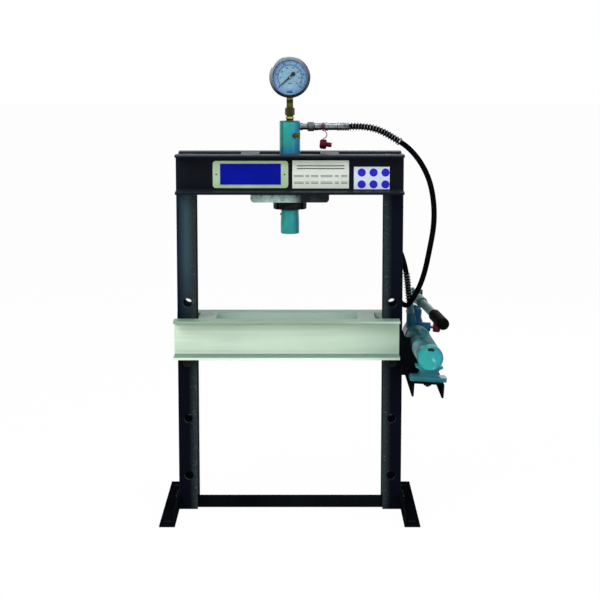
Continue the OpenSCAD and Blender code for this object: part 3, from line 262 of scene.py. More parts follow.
def chrome_plate(name, colour="#d5dade", shade="#b9c0c6", leans=()):
    """Bright chrome plate: nearly a mirror, with a faint haze of wiping, and a painted dark reflection where it
    leans.
    """
    material, tree, place = new_material(name)
    wiping = {"detail": 4.0, "rough": 0.6, "stretch": (1, 1, 0.3)}
    plated = lay(tree, colour, shade, mottle(tree, place, 20, 0.4, 0.7, **wiping))
    return finished(material, {
        "Base Color": shade_along(tree, place, plated, leans), "Metallic": 1.0,
        "Roughness": mottle(tree, place, 20, 0.3, 0.7, to=(0.06, 0.16), **wiping),
        "Normal": grain(tree, place, 3, 0.004, 2.0)})


def oxide_steel(name, colour, shade, roughness=(0.38, 0.6)):
    """Blackened steel: dark oxide that is pitted, and worn brighter in patches and along its edges."""
    material, tree, place = new_material(name)
    wear = mottle(tree, place, 11, 0.45, 0.72, 5.0, 0.65)
    smooth, rough = roughness
    return finished(material, {
        "Base Color": lay(tree, lay(tree, colour, shade, wear), "#7d8086", sharp_edges(tree, 0.7), 0.5),
        "Metallic": 0.85, "Roughness": add(tree, MAP, wear, 0.0, 1.0, rough, smooth),
        "Normal": grain(tree, place, 1.6, 0.06, 4.0, 0.7)})


def moulded(name, colour, shade, roughness=(0.25, 0.42), grain_mm=1.2, depth_mm=0.03, gloss=0.5):
    """Moulded plastic or rubber: an even colour with a little bloom, and the grain of the mould."""
    material, tree, place = new_material(name)
    return finished(material, {
        "Base Color": lay(tree, colour, shade, mottle(tree, place, 24, 0.38, 0.68, 4.0)),
        "Roughness": mottle(tree, place, 8, 0.3, 0.7, to=roughness),
        "Normal": grain(tree, place, grain_mm, depth_mm), "Specular IOR Level": gloss})


def printed_sheet(name, colour, shade, roughness=(0.3, 0.45), metallic=0.0, brush=(1, 1, 1), gloss=0.2):
    """Printed or lacquered thin sheet: a clean colour that yellows in patches, and rolling lines, which are
    coarser than real ones so that they show. brush draws the lines out along an axis."""
    material, tree, place = new_material(name)
    return finished(material, {
        "Base Color": lay(tree, colour, shade, mottle(tree, place, 45, 0.35, 0.7)),
        "Metallic": metallic, "Specular IOR Level": gloss,
        "Roughness": mottle(tree, place, 1.0, 0.3, 0.7, 2.0, 0.5, brush, roughness),
        "Normal": grain(tree, place, 1.0, 0.008, 2.0, 0.5, stretch=brush)})


def rubbed_primer(top):
    """Thick plate under the beam: grey-green primer rubbed bare on the left, black on the right, with painted shade
    along its top edge under the beam, and specked with rust."""
    material, tree, place = new_material("rubbed_seat_primer")
    rubbed = lay(tree, "#88a69f", "#b9d6cd", mottle(tree, place, 40, 0.35, 0.65, 4.0))
    dark_right_side = lay(tree, "#0d1217", "#2b373b", mottle(tree, place, 30, 0.4, 0.7, 4.0))
    # black to the right of the middle, and painted shade along the top edge under the beam
    colour = shade_along(tree, place, rubbed, [
        ("X", -0.005, 0.03, dark_right_side), ("Z", top - 0.0045, top - 0.001, "#11181c")])
    return finished(material, {
        "Base Color": lay(tree, colour, "#0c1013", mottle(tree, place, 6, 0.57, 0.62, 5.0, 0.7), 0.85),
        "Roughness": mottle(tree, place, 12, 0.3, 0.7, 4.0, to=(0.4, 0.62)),
        "Normal": grain(tree, place, 4, 0.15, 5.0, 0.7), "Specular IOR Level": 0.12})


def window_glass():
    """Flat float glass over the dial: clear, with a soft reflection and a little smear."""
    material, tree, place = new_material("float_glass")
    pane = add(tree, "ShaderNodeBsdfPrincipled", {
        "Base Color": "#f4f9fc", "Transmission Weight": 1.0, "IOR": 1.45,
        "Roughness": mottle(tree, place, 30, 0.4, 0.7, to=(0.0, 0.04))})
    # light passes straight through to the dial, so the dial isn't left in shadow
    rays = add(tree, "ShaderNodeLightPath", out=None)
    share = add(tree, MATH, rays["Is Shadow Ray"], rays["Is Diffuse Ray"], operation="MAXIMUM")
    share = add(tree, MATH, share, LENS_CLEAR, operation="MAXIMUM")
    clear = add(tree, "ShaderNodeBsdfTransparent", {"Color": "#f2f7fa"})
    add(tree, "ShaderNodeOutputMaterial", add(tree, "ShaderNodeMixShader", share, pane, clear), out=None)
    return material


# ---------- places that the finishes and the print are set out from ----------

BEAM_LOW, BEAM_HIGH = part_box("beam_channel_front")
SEAT_LOW, SEAT_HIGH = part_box("cylinder_seat")
POST_IN, POST_OUT = (corner.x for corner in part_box("right_upright"))
BED_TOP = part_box("bed_channel_front")[1].z
CYL_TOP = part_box("cylinder_body")[1].z
STEM_IN_CASE = 0.008
STEM_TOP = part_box("gauge_stem")[1].z - STEM_IN_CASE
PLUG_OIL = sum(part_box("port_plug"), Vector()) / 2 + Vector((-0.0075, -0.003, 0))
TANK_REFLECTION_LINE = sum(corner.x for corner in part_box("pump_tank")) / 2 - 0.011
CAP_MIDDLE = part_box("pump_end_cap")[1].z - 0.0335
CAP_TOP = max((v.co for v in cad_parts["pump_end_cap"].data.vertices), key=lambda co: co.z)
FOOT_HOLE_X, FOOT_HOLE_Y, FOOT_HOLE_Z = 0.31, 0.18, 0.004
HOLE_R_MM, WASHER_R_MM = 5.5, 9.5
FOOT_HOLES = [((side * FOOT_HOLE_X, end * FOOT_HOLE_Y, FOOT_HOLE_Z), HOLE_R_MM, WASHER_R_MM)
              for side in (-1, 1) for end in (-1, 1)]


# ---------- the press's own materials ----------

# brushed enamel on the rolled frame: near black and dull, paler on faces that look up, with a painted highlight
# along the beam's top edge, and painted sheen and shade on the posts
FRAME_PAINT = brushed_enamel("black_brushed_enamel", "#060911", "#0c1019", "#3b4346", 0.66,
                             leans=[("Z", BEAM_HIGH.z - 0.0045, BEAM_HIGH.z - 0.002, "#2c343c")], up_facing_tint="#20272e")
FOOT_PAINT = brushed_enamel("black_primer_feet_and_tray", "#07090d", "#0e1115", "#2d3335", 0.66, 0.0,
                            (0.55, 0.7), FOOT_HOLES)
# posts: painted sheen on the left post that turns to painted shade towards its outer edge, painted shade lower down
# on both posts, and a strip of painted sheen with speckled wear along each inner edge
POST_PAINT = brushed_enamel("black_enamel_posts_painted_sheen", "#060a14", "#0b0f1a", "#434d4d", 0.66, 0.025, leans=[
    ("X", -0.2, 0.002 - POST_IN, "#31454c"), ("X", -POST_IN - 0.026, 0.002 - POST_OUT, "#0d1428"),
    ("Z", 0.66, 0.46, "#050812")], inner=(POST_IN + 0.02, POST_IN + 0.005, "#262f33", "#66756f"))
TIE_PAINT = brushed_enamel("grey_black_enamel_ties", "#232937", "#303746", "#566069")

# the bed's pale enamel shows the roller's long marks, with painted shadow under its top lip, painted shade towards
# its right end and on its faces further back, and a darker tint on faces that look up
BED_PAINT = brushed_enamel("pale_green_enamel", "#dcefd7", "#cce0ca", "#8ea096", 0.7, 0.12, (0.34, 0.5), leans=[
    ("Z", BED_TOP - 0.019, BED_TOP - 0.009, "#8ca58f"), ("X", 0.12, 0.29, "#b3cbb8"),
    ("Y", -0.062, -0.03, "#a3bcb0")], streaks="#e6f6e5", up_facing_tint="#7f968b")
SEAT_PRIMER = rubbed_primer(SEAT_HIGH.z)

# sprayed enamel on the hydraulics: teal, with a painted blue cast of shade on the right of the cylinder, the press
# head and the end cap, and darker where the paint pools
# cylinder: painted blue cast of shade on the right and towards its foot at the beam, darker along its top edge and
# its sharp edges, a dark line down its left side, and oil round the plug
CYLINDER_ENAMEL = sprayed_enamel("teal_enamel_cylinder", "#23a295", "#1d9089", [
    ("X", -0.004, 0.024, "#1b7fa6"), ("Z", BEAM_HIGH.z + 0.025, BEAM_HIGH.z, "#1f6f9c"),
    ("Z", CYL_TOP - 0.0032, CYL_TOP - 0.002, "#123c46")], 0.2,
    mark=((0.94, 0.34, 0.0), -0.0245, 2.2, "#0d4a44"), edge="#0f4048", pool=(tuple(PLUG_OIL), 6.5, "#16210f"))
# press head: painted blue cast of shade on the right, and paler sharp edges, partly paint drawn thin and partly a
# painted highlight
RAM_ENAMEL = sprayed_enamel("teal_enamel_press_head", "#239a92", "#1d8786", [("X", 0.002, 0.024, "#1d7590")],
                            edge="#4aa39f")
# tube: its long runs of pale and dark are painted reflection, the dark line along its top is a painted reflection,
# and its darker right flank is painted shade
TANK_ENAMEL = sprayed_enamel("greyed_teal_enamel_tube", "#7c9c9e", "#376a72", [("X", 0.374, 0.388, "#24545c")], 0.3,
                             mark=((1.0, 0.035, 0.0), TANK_REFLECTION_LINE, 8.0, "#143c44"), gloss=0.0, coat=0.0,
                             flow=(1.0, 0.22, 1.0))
# end cap: painted blue cast of shade on the right, painted shade on the neck under the round face that eases on the
# foot, painted shade round the face's rim with painted highlights inside it, and paler sharp edges, partly paint
# drawn thin and partly a painted highlight
CAP_ENAMEL = sprayed_enamel("bright_teal_enamel_casting", "#29a297", "#249692", [
    ("X", 0.345, 0.395, "#2b86a6"), ("Z", CAP_MIDDLE - 0.028, CAP_MIDDLE - 0.036, "#104b57"),
    ("Z", CAP_MIDDLE - 0.041, CAP_MIDDLE - 0.046, "#1f6f7d")],
    edge="#6cc4bd", rim=((CAP_TOP.x, 0, CAP_MIDDLE), 32.5, "#14626c"))
# pump head: paler sharp edges, partly paint drawn thin and partly a painted highlight
HEAD_ENAMEL = sprayed_enamel("blue_teal_enamel_casting", "#175a7a", "#143f78", [
    ("X", 0.352, 0.325, "#174f60"), ("Z", 0.505, 0.53, "#3d5f5d")], 0.45, edge="#3f8fa8", gloss=0.06, coat=0.0)
# lever: paler sharp edges, partly paint drawn thin and partly a painted highlight
LEVER_ENAMEL = sprayed_enamel("grey_teal_enamel_lever", "#3d6c68", "#27504d", grime=0.5, edge="#7fa9a2",
                              gloss=0.06, coat=0.0)
FITTING_ENAMEL = sprayed_enamel("blue_grey_enamel_fittings", "#3a6f80", "#2c5364", grime=0.4)

# bare turned metal: brass dulled olive by oil, with a bright lip on the nut, and zinc with dark stains
BRASS = turned_metal("turned_brass_plug", "#9a8420", "#5c4c12", "Z", 0.9, (0.24, 0.44))
STEM_BRASS = turned_metal("dulled_brass_stem", "#5c5c2c", "#33350f", "Z", 1.4, (0.26, 0.46), 0.08, [
    ("Z", STEM_TOP - 0.016, STEM_TOP - 0.015, "#2e2f14"), ("Z", STEM_TOP - 0.0065, STEM_TOP - 0.006, "#7d7b3c")])
NUT_BRASS = turned_metal("dulled_brass_nut", "#4a4a24", "#2e2f13", "Z", 1.1, (0.24, 0.42), 0.05, [
    ("Z", CYL_TOP + 0.0042, CYL_TOP + 0.0047, "#96945c"), ("Z", CYL_TOP + 0.0102, CYL_TOP + 0.0107, "#35361a")])
ZINC = turned_metal("zinc_plated_turned_steel", "#858a8c", "#383c3e", "X", 0.7, (0.14, 0.34))
DARK_ZINC = turned_metal("knurled_zinc_collar", "#5c6665", "#252b2b", "X", 1.6, (0.2, 0.36), 0.12)
STEEL = turned_metal("bright_turned_steel", "#a9adb2", "#7f8388", "Z", 0.6)

# chrome is a mirror; the bezel's rolled rim is darker towards its lower right, a painted dark reflection
CHROME = chrome_plate("bright_chrome_plate")
BEZEL_CHROME = chrome_plate("rolled_chrome_bezel", "#99a3a6", "#79838a",
                            [("Z", 1.14, 1.085, "#1a262d"), ("X", 0.02, 0.055, "#2a3339")])
OXIDE = oxide_steel("black_oxide_steel", "#0a0b0d", "#1e2023")
SPRING_WIRE = oxide_steel("oiled_spring_wire", "#3a3d42", "#8a8e94", (0.2, 0.36))

# the dial is lacquered, the name plate is anodised and enamelled, and the rest is vinyl and screen ink
DIAL = printed_sheet("pale_blue_lacquered_dial", "#90aece", "#82a1c4", (0.4, 0.55))
DIAL_MIDDLE = printed_sheet("paler_blue_dial_middle", "#9bb9c6", "#8fadbb", (0.4, 0.55))
DIAL_INK = printed_sheet("dark_blue_dial_ink", "#14265c", "#0f1f4d", (0.45, 0.6), gloss=0.05)
GLASS = window_glass()
PLATE_FRAME = printed_sheet("satin_pale_green_plate", "#b6d1aa", "#a4c29d", (0.3, 0.42), 0.1, (0.1, 1, 1))
PLATE_FIELD = printed_sheet("deep_blue_enamel_field", "#0413a4", "#03108e", (0.25, 0.35), gloss=0.06)
DATA_SHEET = printed_sheet("white_lacquered_sheet", "#e2e8df", "#d3dbd0", (0.35, 0.5), brush=(0.15, 1, 1))
PRINT_GREY = printed_sheet("grey_screen_ink", "#3c423f", "#4a504d", (0.45, 0.6), gloss=0.08)
STICKER = printed_sheet("lavender_vinyl", "#dce6f8", "#d0dbf4")
STICKER_INK = printed_sheet("blue_screen_ink", "#2c2cc8", "#2626b4", (0.35, 0.5), gloss=0.08)

# rubber is dead black with a fine grain, and the polyethylene and the knob have a soft sheen
HOSE_RUBBER = moulded("black_hose_rubber", "#050607", "#0b0c0d", (0.5, 0.66), 1.6, 0.05, 0.0)
GRIP_RUBBER = moulded("black_grip_rubber", "#040505", "#090a0b", (0.5, 0.66), 1.4, 0.08, 0.01)
SEAL_RUBBER = moulded("nitrile_rubber", "#101112", "#1b1c1e", (0.4, 0.55), 1.0, 0.02, 0.3)
PLUG_DARK = moulded("dark_rubber_vent_plug", "#0d2226", "#143036", (0.35, 0.5), gloss=0.2)
CAP_RED = moulded("deep_red_polyethylene", "#5e081f", "#420616", (0.3, 0.45), gloss=0.08)
STRAP_RED = moulded("plum_red_polyethylene", "#5a0e2c", "#450a22", (0.35, 0.5), gloss=0.12)
KNOB_RED = moulded("crimson_moulded_knob", "#5a0c26", "#3d081b", (0.22, 0.36), gloss=0.08)
NEEDLE = moulded("black_lacquered_needle", "#0a0b0e", "#15171b", (0.3, 0.45), 2.0, 0.005, 0.2)

NODE_MATERIALS = {
    POST_PAINT: ["left_upright", "right_upright"],
    FRAME_PAINT: ["beam_channel_front", "beam_channel_rear"],
    FOOT_PAINT: ["foot_left", "foot_right", "cross_brace", "pump_tray", "tray_standoff"],
    TIE_PAINT: ["beam_ties"],
    BED_PAINT: ["bed_channel_front", "bed_channel_rear", "bed_ties"],
    SEAT_PRIMER: ["cylinder_seat"],
    CYLINDER_ENAMEL: ["cylinder_body"],
    RAM_ENAMEL: ["press_head"],
    TANK_ENAMEL: ["pump_tank"],
    CAP_ENAMEL: ["pump_end_cap"],
    HEAD_ENAMEL: ["pump_head"],
    LEVER_ENAMEL: ["pump_lever", "handle_tube"],
    BRASS: ["port_plug", "guide_bush"],
    STEM_BRASS: ["gauge_stem"],
    NUT_BRASS: ["gauge_adapter"],
    ZINC: ["coupler_nipple", "coupler_body", "hose_sleeve_top", "valve_stem"],
    DARK_ZINC: ["coupler_collar"],
    STEEL: ["return_spring", "piston"],
    FITTING_ENAMEL: ["hose_sleeve_bottom", "plunger_gland"],
    CHROME: ["ram_rod", "plunger"],
    BEZEL_CHROME: ["gauge_case", "gauge_bezel"],
    OXIDE: ["foot_bolts", "ring_nut", "head_screw", "pivot_pin", "pump_bolts", "bed_pin_left", "bed_pin_right"],
    DIAL: ["gauge_dial"],
    NEEDLE: ["gauge_needle"],
    GLASS: ["gauge_lens"],
    PLATE_FRAME: ["name_plate"],
    DATA_SHEET: ["data_plate"],
    GRIP_RUBBER: ["handle_grip"],
    SEAL_RUBBER: ["rod_wiper", "piston_seal"],
    CAP_RED: ["dust_cap"],
    STRAP_RED: ["cap_strap"],
    KNOB_RED: ["valve_knob"],
    PLUG_DARK: ["vent_plug"],
}
for finish, names in NODE_MATERIALS.items():
    for node_name in names:
        for material_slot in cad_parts[node_name].material_slots:
            material_slot.material = finish


# ---------- pieces ----------

def on_body(piece, body):
    """Gives a piece the body that it rides."""
    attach(piece, body)
    return piece


def piece_from(name, points, faces, material, smooth=True):
    """A plain mesh from points in metres."""
    mesh = bpy.data.meshes.new(name)
    mesh.from_pydata([tuple(p) for p in points], [], faces)
    mesh.validate()
    mesh.polygons.foreach_set("use_smooth", [smooth] * len(mesh.polygons))
    mesh.materials.append(material)
    return new_object(name, mesh)


SPLINE_STEPS = 4000


def smooth_line(route, count):
    """A natural cubic spline through the route, as evenly spaced points, and its length."""
    route = np.array(route, float)
    gaps = np.linalg.norm(np.diff(route, axis=0), axis=1)
    at = np.concatenate([[0], np.cumsum(gaps)])
    size = len(route)
    system, right = np.eye(size), np.zeros((size, 3))
    for i in range(1, size - 1):
        system[i, i - 1:i + 2] = gaps[i - 1], 2 * (gaps[i - 1] + gaps[i]), gaps[i]
        right[i] = 6 * ((route[i + 1] - route[i]) / gaps[i] - (route[i] - route[i - 1]) / gaps[i - 1])
    bend = np.linalg.solve(system, right)
    fine = np.linspace(0, at[-1], SPLINE_STEPS)
    i = np.clip(np.searchsorted(at, fine, "right") - 1, 0, size - 2)
    h, a, b = gaps[i][:, None], (at[i + 1] - fine)[:, None], (fine - at[i])[:, None]
    line = (bend[i] * a ** 3 + bend[i + 1] * b ** 3) / (6 * h)
    line += (route[i] / h - bend[i] * h / 6) * a + (route[i + 1] / h - bend[i + 1] * h / 6) * b
    run = np.concatenate([[0], np.cumsum(np.linalg.norm(np.diff(line, axis=0), axis=1))])
    even = np.linspace(0, run[-1], count)
    return np.stack([np.interp(even, run, line[:, k]) for k in range(3)], axis=1), run[-1]


def poly_curve(name, points):
    data = bpy.data.curves.new(name, "CURVE")
    data.dimensions = "3D"
    spline = data.splines.new("POLY")
    spline.points.add(len(points) - 1)
    spline.points.foreach_set("co", [c for p in points for c in (*p, 1.0)])
    return new_object(name, data)


# ---------- hose ----------

# the same route as the solid's, in millimetres
HOSE_ROUTE = [
    (152, 0, 997), (183.5, 0, 997), (214.5, -2, 992.5), (243.5, -4, 981.5), (270.5, -7, 966),
    (296.5, -11.5, 949), (318.5, -18.5, 928), (336.5, -26, 903.5), (350.5, -34, 876.5), (360, -42, 848),
    (365.5, -49, 818), (368, -55, 787), (367.5, -58, 756), (364.5, -55, 725), (360, -47, 695),
    (355.5, -37, 665.5), (350.5, -26.5, 636.5), (344, -15, 608), (335.5, -2, 581), (325.5, 15.5, 557),
    (317, 38, 536.5), (310, 65.5, 524), (303, 96, 520), (296.5, 126.5, 521.5), (289.5, 157, 525),
    (283, 187.5, 529), (276.5, 217, 536), (270.5, 244.5, 550), (265, 264.5, 573.5), (262.5, 272, 603.5),
    (263, 266.5, 634), (266.5, 248.5, 659), (273.5, 221.5, 673.5), (282, 192, 675), (291.5, 165, 663),
    (301, 146.5, 639.5), (308.5, 138.5, 610.5), (313.5, 138, 579.5), (316.96, 137.94, 548.15),
    (320.38, 138.13, 517.17),
]
HOSE_D, HOSE_POINTS = 14 * MM, 260
hose_line, hose_length = smooth_line(np.array(HOSE_ROUTE) * MM, HOSE_POINTS)
hose = poly_curve("hose_rubber", hose_line)
hose.data.bevel_depth = HOSE_D / 2
hose.data.bevel_resolution = 5
hose.data.use_fill_caps = True
hose.data.materials.append(HOSE_RUBBER)
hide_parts("hose")
on_body(hose, "frame")


# ---------- geometry node trees ----------

def new_tree(name, sizes):
    """A geometry tree with named inputs of the given kinds and values, and those inputs as outputs of its start."""
    tree = bpy.data.node_groups.new(name, "GeometryNodeTree")
    for side in ("INPUT", "OUTPUT"):
        tree.interface.new_socket("Geometry", in_out=side, socket_type="NodeSocketGeometry")
    for label, kind, value in [*sizes, ("Material", "Material", None)]:
        socket = tree.interface.new_socket(label, in_out="INPUT", socket_type="NodeSocket" + kind)
        if value is not None:
            socket.default_value = value
    return tree, add(tree, "NodeGroupInput", out=None)


def close_tree(tree, geometry, material):
    """Ends a tree in real geometry of the given material."""
    real = add(tree, "GeometryNodeRealizeInstances", geometry)
    coated = add(tree, "GeometryNodeSetMaterial", {"Geometry": real, "Material": material})
    add(tree, "NodeGroupOutput", coated, out=None)
    return tree


def grown(carrier, tree, values, name, body, material):
    """Runs a tree on a carrier object, and gives its result as one plain mesh piece on a body."""
    modifier = carrier.modifiers.new("grow", "NODES")
    modifier.node_group = tree
    sockets = {i.name: i.identifier for i in tree.interface.items_tree if i.in_out == "INPUT"}
    for label, value in {**values, "Material": material}.items():
        modifier[sockets[label]] = value
    mesh = bpy.data.meshes.new_from_object(carrier.evaluated_get(bpy.context.evaluated_depsgraph_get()))
    bpy.data.objects.remove(carrier)
    mesh.name = name
    return on_body(new_object(name, mesh), body)


def coil_tree():
    """A wire wound round a path: the path's points are pushed out in a turning circle, and get a round section."""
    tree, given = new_tree("wound_wire", [
        ("Turn Radius", "Float", 0.009), ("Wire Radius", "Float", 0.0011), ("Pitch", "Float", 0.0076),
        ("Steps per Turn", "Int", 14), ("Section Sides", "Int", 6)])
    length = add(tree, "GeometryNodeCurveLength", given["Geometry"])
    turns = add(tree, MATH, length, given["Pitch"], operation="DIVIDE")
    count = overlap(tree, turns, given["Steps per Turn"])
    path = add(tree, "GeometryNodeResampleCurve", {"Curve": given["Geometry"], "Count": count})
    angle = overlap(tree, add(tree, "GeometryNodeSplineParameter", out="Factor"), turns, 2 * math.pi)
    normal = add(tree, "GeometryNodeInputNormal")
    tangent = add(tree, "GeometryNodeInputTangent")
    side = add(tree, VECTOR, tangent, normal, operation="CROSS_PRODUCT")
    arms = []
    for direction, turn in ((normal, "COSINE"), (side, "SINE")):
        reach = overlap(tree, add(tree, MATH, angle, operation=turn), given["Turn Radius"])
        arms.append(add(tree, VECTOR, {0: direction, "Scale": reach}, operation="SCALE"))
    offset = add(tree, VECTOR, *arms, operation="ADD")
    wound = add(tree, "GeometryNodeSetPosition", {"Geometry": path, "Offset": offset})
    section = add(tree, "GeometryNodeCurvePrimitiveCircle",
                  {"Resolution": given["Section Sides"], "Radius": given["Wire Radius"]})
    wire = add(tree, "GeometryNodeCurveToMesh", {"Curve": wound, "Profile Curve": section, "Fill Caps": True})
    return close_tree(tree, add(tree, "GeometryNodeSetShadeSmooth", wire), given["Material"])


COIL = coil_tree()


# ---------- hose guards ----------

POINT_GAP = 0.002
GUARD_PITCH, WIRE_R, GUARD_R = 7.6 * MM, 1.25 * MM, 10.3 * MM
TOP_GUARD, BOTTOM_GUARD = (0.0015, 0.1385), (hose_length - 0.0845, hose_length - 0.0015)


def hose_part(start, end):
    """The stretch of the hose's line between two lengths along it, in metres."""
    share = np.linspace(0, hose_length, len(hose_line))
    even = np.linspace(start, end, max(8, int((end - start) / POINT_GAP)))
    return np.stack([np.interp(even, share, hose_line[:, k]) for k in range(3)], axis=1)


for name, node_name, (start, end) in (("coil_guard_top", "hose_guard_top", TOP_GUARD),
                                      ("coil_guard_bottom", "hose_guard_bottom", BOTTOM_GUARD)):
    guard = grown(poly_curve(name + "_path", hose_part(start, end)), COIL, {
        "Turn Radius": GUARD_R - WIRE_R, "Wire Radius": WIRE_R, "Pitch": GUARD_PITCH,
        "Steps per Turn": 18, "Section Sides": 8}, name, "frame", SPRING_WIRE)
    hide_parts(node_name)


# ---------- return spring ----------

# the ram's stroke closes the spring down on the guide bush, so it is squeezed instead of carried
SPRING_WIRE_R, SPRING_TURNS = 1.4 * MM, 8
spring_low, spring_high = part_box("return_spring")
spring_foot = Vector((0, 0, spring_low.z + SPRING_WIRE_R))
spring_head = Vector((0, 0, spring_high.z - SPRING_WIRE_R))
spring_axis = poly_curve("spring_axis", [tuple(spring_foot.lerp(spring_head, i / 12)) for i in range(13)])
spring = grown(spring_axis, COIL, {
    "Turn Radius": (spring_high.x - spring_low.x) / 2 - SPRING_WIRE_R, "Wire Radius": SPRING_WIRE_R,
    "Pitch": (spring_head.z - spring_foot.z) / SPRING_TURNS, "Steps per Turn": 20, "Section Sides": 8,
}, "wound_return_spring", "frame", SPRING_WIRE)
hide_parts("return_spring")
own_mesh(spring)


# ---------- thin panels and print ----------

def rect(x0, x1, z0, z1):
    return [(x0, z0), (x1, z0), (x1, z1), (x0, z1)]


def disc(x, z, radius, sides=40):
    turns = [2 * math.pi * i / sides for i in range(sides)]
    return [(x + radius * math.cos(t), z + radius * math.sin(t)) for t in turns]


def panels(name, outlines, face_y, proud_mm, depth_mm, material):
    """Thin closed panels on the frame, one for each outline in X and Z, that stand proud of a face to the front."""
    front, depth = face_y - proud_mm * MM, depth_mm * MM
    points, faces = [], []
    for outline in outlines:
        count, base = len(outline), len(points)
        points += [(x, front, z) for x, z in outline] + [(x, front + depth, z) for x, z in outline]
        faces.append([base + i for i in range(count)])
        faces.append([base + count + i for i in reversed(range(count))])
        for i in range(count):
            after = (i + 1) % count
            faces.append([base + i, base + count + i, base + count + after, base + after])
    return on_body(piece_from(name, points, faces, material, False), "frame")


def turned(name, profile, centre, direction, material, body, sides=48):
    """A ring turned about a direction through centre, from a closed profile of (radius, height) in mm."""
    aim = Vector(direction).to_track_quat("Z", "Y").to_matrix()
    points, faces, rows = [], [], len(profile)
    for k in range(sides):
        turn = 2 * math.pi * k / sides
        for radius, height in profile:
            local = Vector((radius * math.cos(turn), radius * math.sin(turn), height)) * MM
            points.append(Vector(centre) + aim @ local)
    for k in range(sides):
        after = (k + 1) % sides
        for i in range(rows):
            j = (i + 1) % rows
            faces.append([k * rows + i, after * rows + i, after * rows + j, k * rows + j])
    return on_body(piece_from(name, points, faces, material), body)


# name plate: a bare blue enamel field with a pressed border, held by two rivets
BORDER = 1.1 * MM
plate_low, plate_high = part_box("name_plate")
x0, x1 = plate_low.x + 18.6 * MM, plate_high.x - 18.4 * MM
z0, z1 = plate_low.z + 8.3 * MM, plate_high.z - 7 * MM
panels("plate_field", [rect(x0, x1, z0, z1)], plate_low.y, 0.3, 0.6, PLATE_FIELD)
panels("plate_border", [
    rect(x0 - BORDER, x1 + BORDER, z1, z1 + BORDER), rect(x0 - BORDER, x1 + BORDER, z0 - BORDER, z0),
    rect(x0 - BORDER, x0, z0, z1), rect(x1, x1 + BORDER, z0, z1),
], plate_low.y, 0.6, 0.9, PLATE_FRAME)

# data plate: plain ruled lines where a table would stand, and nothing written. Starts, ends and heights are
# shares of the plate's width and of its height from the top
HEADING_MM, HEADING_HEIGHTS, HEADING_SPAN = 2.4, (0.19, 0.29), (0.08, 0.92)
ROW_MM, ROW_HEIGHTS = 1.5, (0.53, 0.58, 0.77, 0.82)
ROW_SPANS = (0.03, 0.2), (0.23, 0.3), (0.33, 0.46), (0.5, 0.71), (0.75, 0.82), (0.86, 0.97)
data_low, data_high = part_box("data_plate")
sheet_w, sheet_h = data_high.x - data_low.x, data_high.z - data_low.z


def ruled(share, height, thick_mm):
    left, right = (data_low.x + end * sheet_w for end in share)
    level = data_high.z - height * sheet_h
    return rect(left, right, level - thick_mm * MM / 2, level + thick_mm * MM / 2)


panels("data_lines", [ruled(HEADING_SPAN, height, HEADING_MM) for height in HEADING_HEIGHTS]
       + [ruled(share, height, ROW_MM) for height in ROW_HEIGHTS for share in ROW_SPANS],
       data_low.y, 0.15, 0.4, PRINT_GREY)

# vinyl sticker at the right of the beam, with six plain discs
STICKER_EDGES = (0.163, 0.254, 0.837, 0.898)
DISC_R, DISC_X, DISC_Z = 0.0104, (0.183, 0.2132, 0.2434), (0.8533, 0.8833)
web_front = plate_high.y
panels("side_sticker", [rect(*STICKER_EDGES)], web_front, 0.3, 0.5, STICKER)
panels("sticker_discs", [disc(x, z, DISC_R) for x in DISC_X for z in DISC_Z],
       web_front, 0.45, 0.4, STICKER_INK)

# gauge dial: two scales with numbers, a pale middle, and bars in place of words. Its ticks are fewer and wider
# than real ones, so that they show
START, SWEEP = math.radians(228), math.radians(265)
MIDDLE_R = 0.0292
DIAL_BARS_MM = (7, -36, -34.2), (7, -39.5, -37.2), (4.5, -16.5, -14.5)
dial_low, dial_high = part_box("gauge_dial")
DIAL_Z = (dial_low.z + dial_high.z) / 2
PRINT_Y = dial_low.y - 0.12 * MM
panels("dial_middle", [disc(0, DIAL_Z, MIDDLE_R, 64)], dial_low.y, 0.08, 0.3, DIAL_MIDDLE)
panels("dial_bar", [rect(-half * MM, half * MM, DIAL_Z + low * MM, DIAL_Z + high * MM)
                    for half, low, high in DIAL_BARS_MM], PRINT_Y, 0.1, 0.3, DIAL_INK)


def on_dial(angle, radius):
    """A place in X and Z, at an angle clockwise from the dial's top."""
    return radius * math.sin(angle), DIAL_Z + radius * math.cos(angle)


def tick_tree():
    """Bars set round an arc that faces the front, from a starting angle clockwise from the top."""
    tree, given = new_tree("tick_ring", [
        ("Count", "Int", 51), ("Start", "Float", START), ("Sweep", "Float", SWEEP), ("Radius", "Float", 0.046),
        ("Length", "Float", 0.003), ("Width", "Float", 0.0004), ("Depth", "Float", 0.0002),
        ("Centre", "Vector", (0, 0, 0))])
    points = add(tree, "GeometryNodePoints", {"Count": given["Count"]})
    gaps = add(tree, MATH, given["Count"], 1.0, operation="SUBTRACT")
    share = add(tree, MATH, add(tree, "GeometryNodeInputIndex"), gaps, operation="DIVIDE")
    angle = add(tree, MATH, overlap(tree, share, given["Sweep"]), given["Start"], operation="ADD")
    x, z = (overlap(tree, add(tree, MATH, angle, operation=turn), given["Radius"]) for turn in ("SINE", "COSINE"))
    spot = add(tree, VECTOR, add(tree, "ShaderNodeCombineXYZ", x, None, z), given["Centre"], operation="ADD")
    placed = add(tree, "GeometryNodeSetPosition", {"Geometry": points, "Position": spot})
    size = add(tree, "ShaderNodeCombineXYZ", given["Width"], given["Depth"], given["Length"])
    bar = add(tree, "GeometryNodeMeshCube", {"Size": size})
    turn = add(tree, "ShaderNodeCombineXYZ", None, angle)
    bars = add(tree, "GeometryNodeInstanceOnPoints", {"Points": placed, "Instance": bar, "Rotation": turn})
    return close_tree(tree, bars, given["Material"])


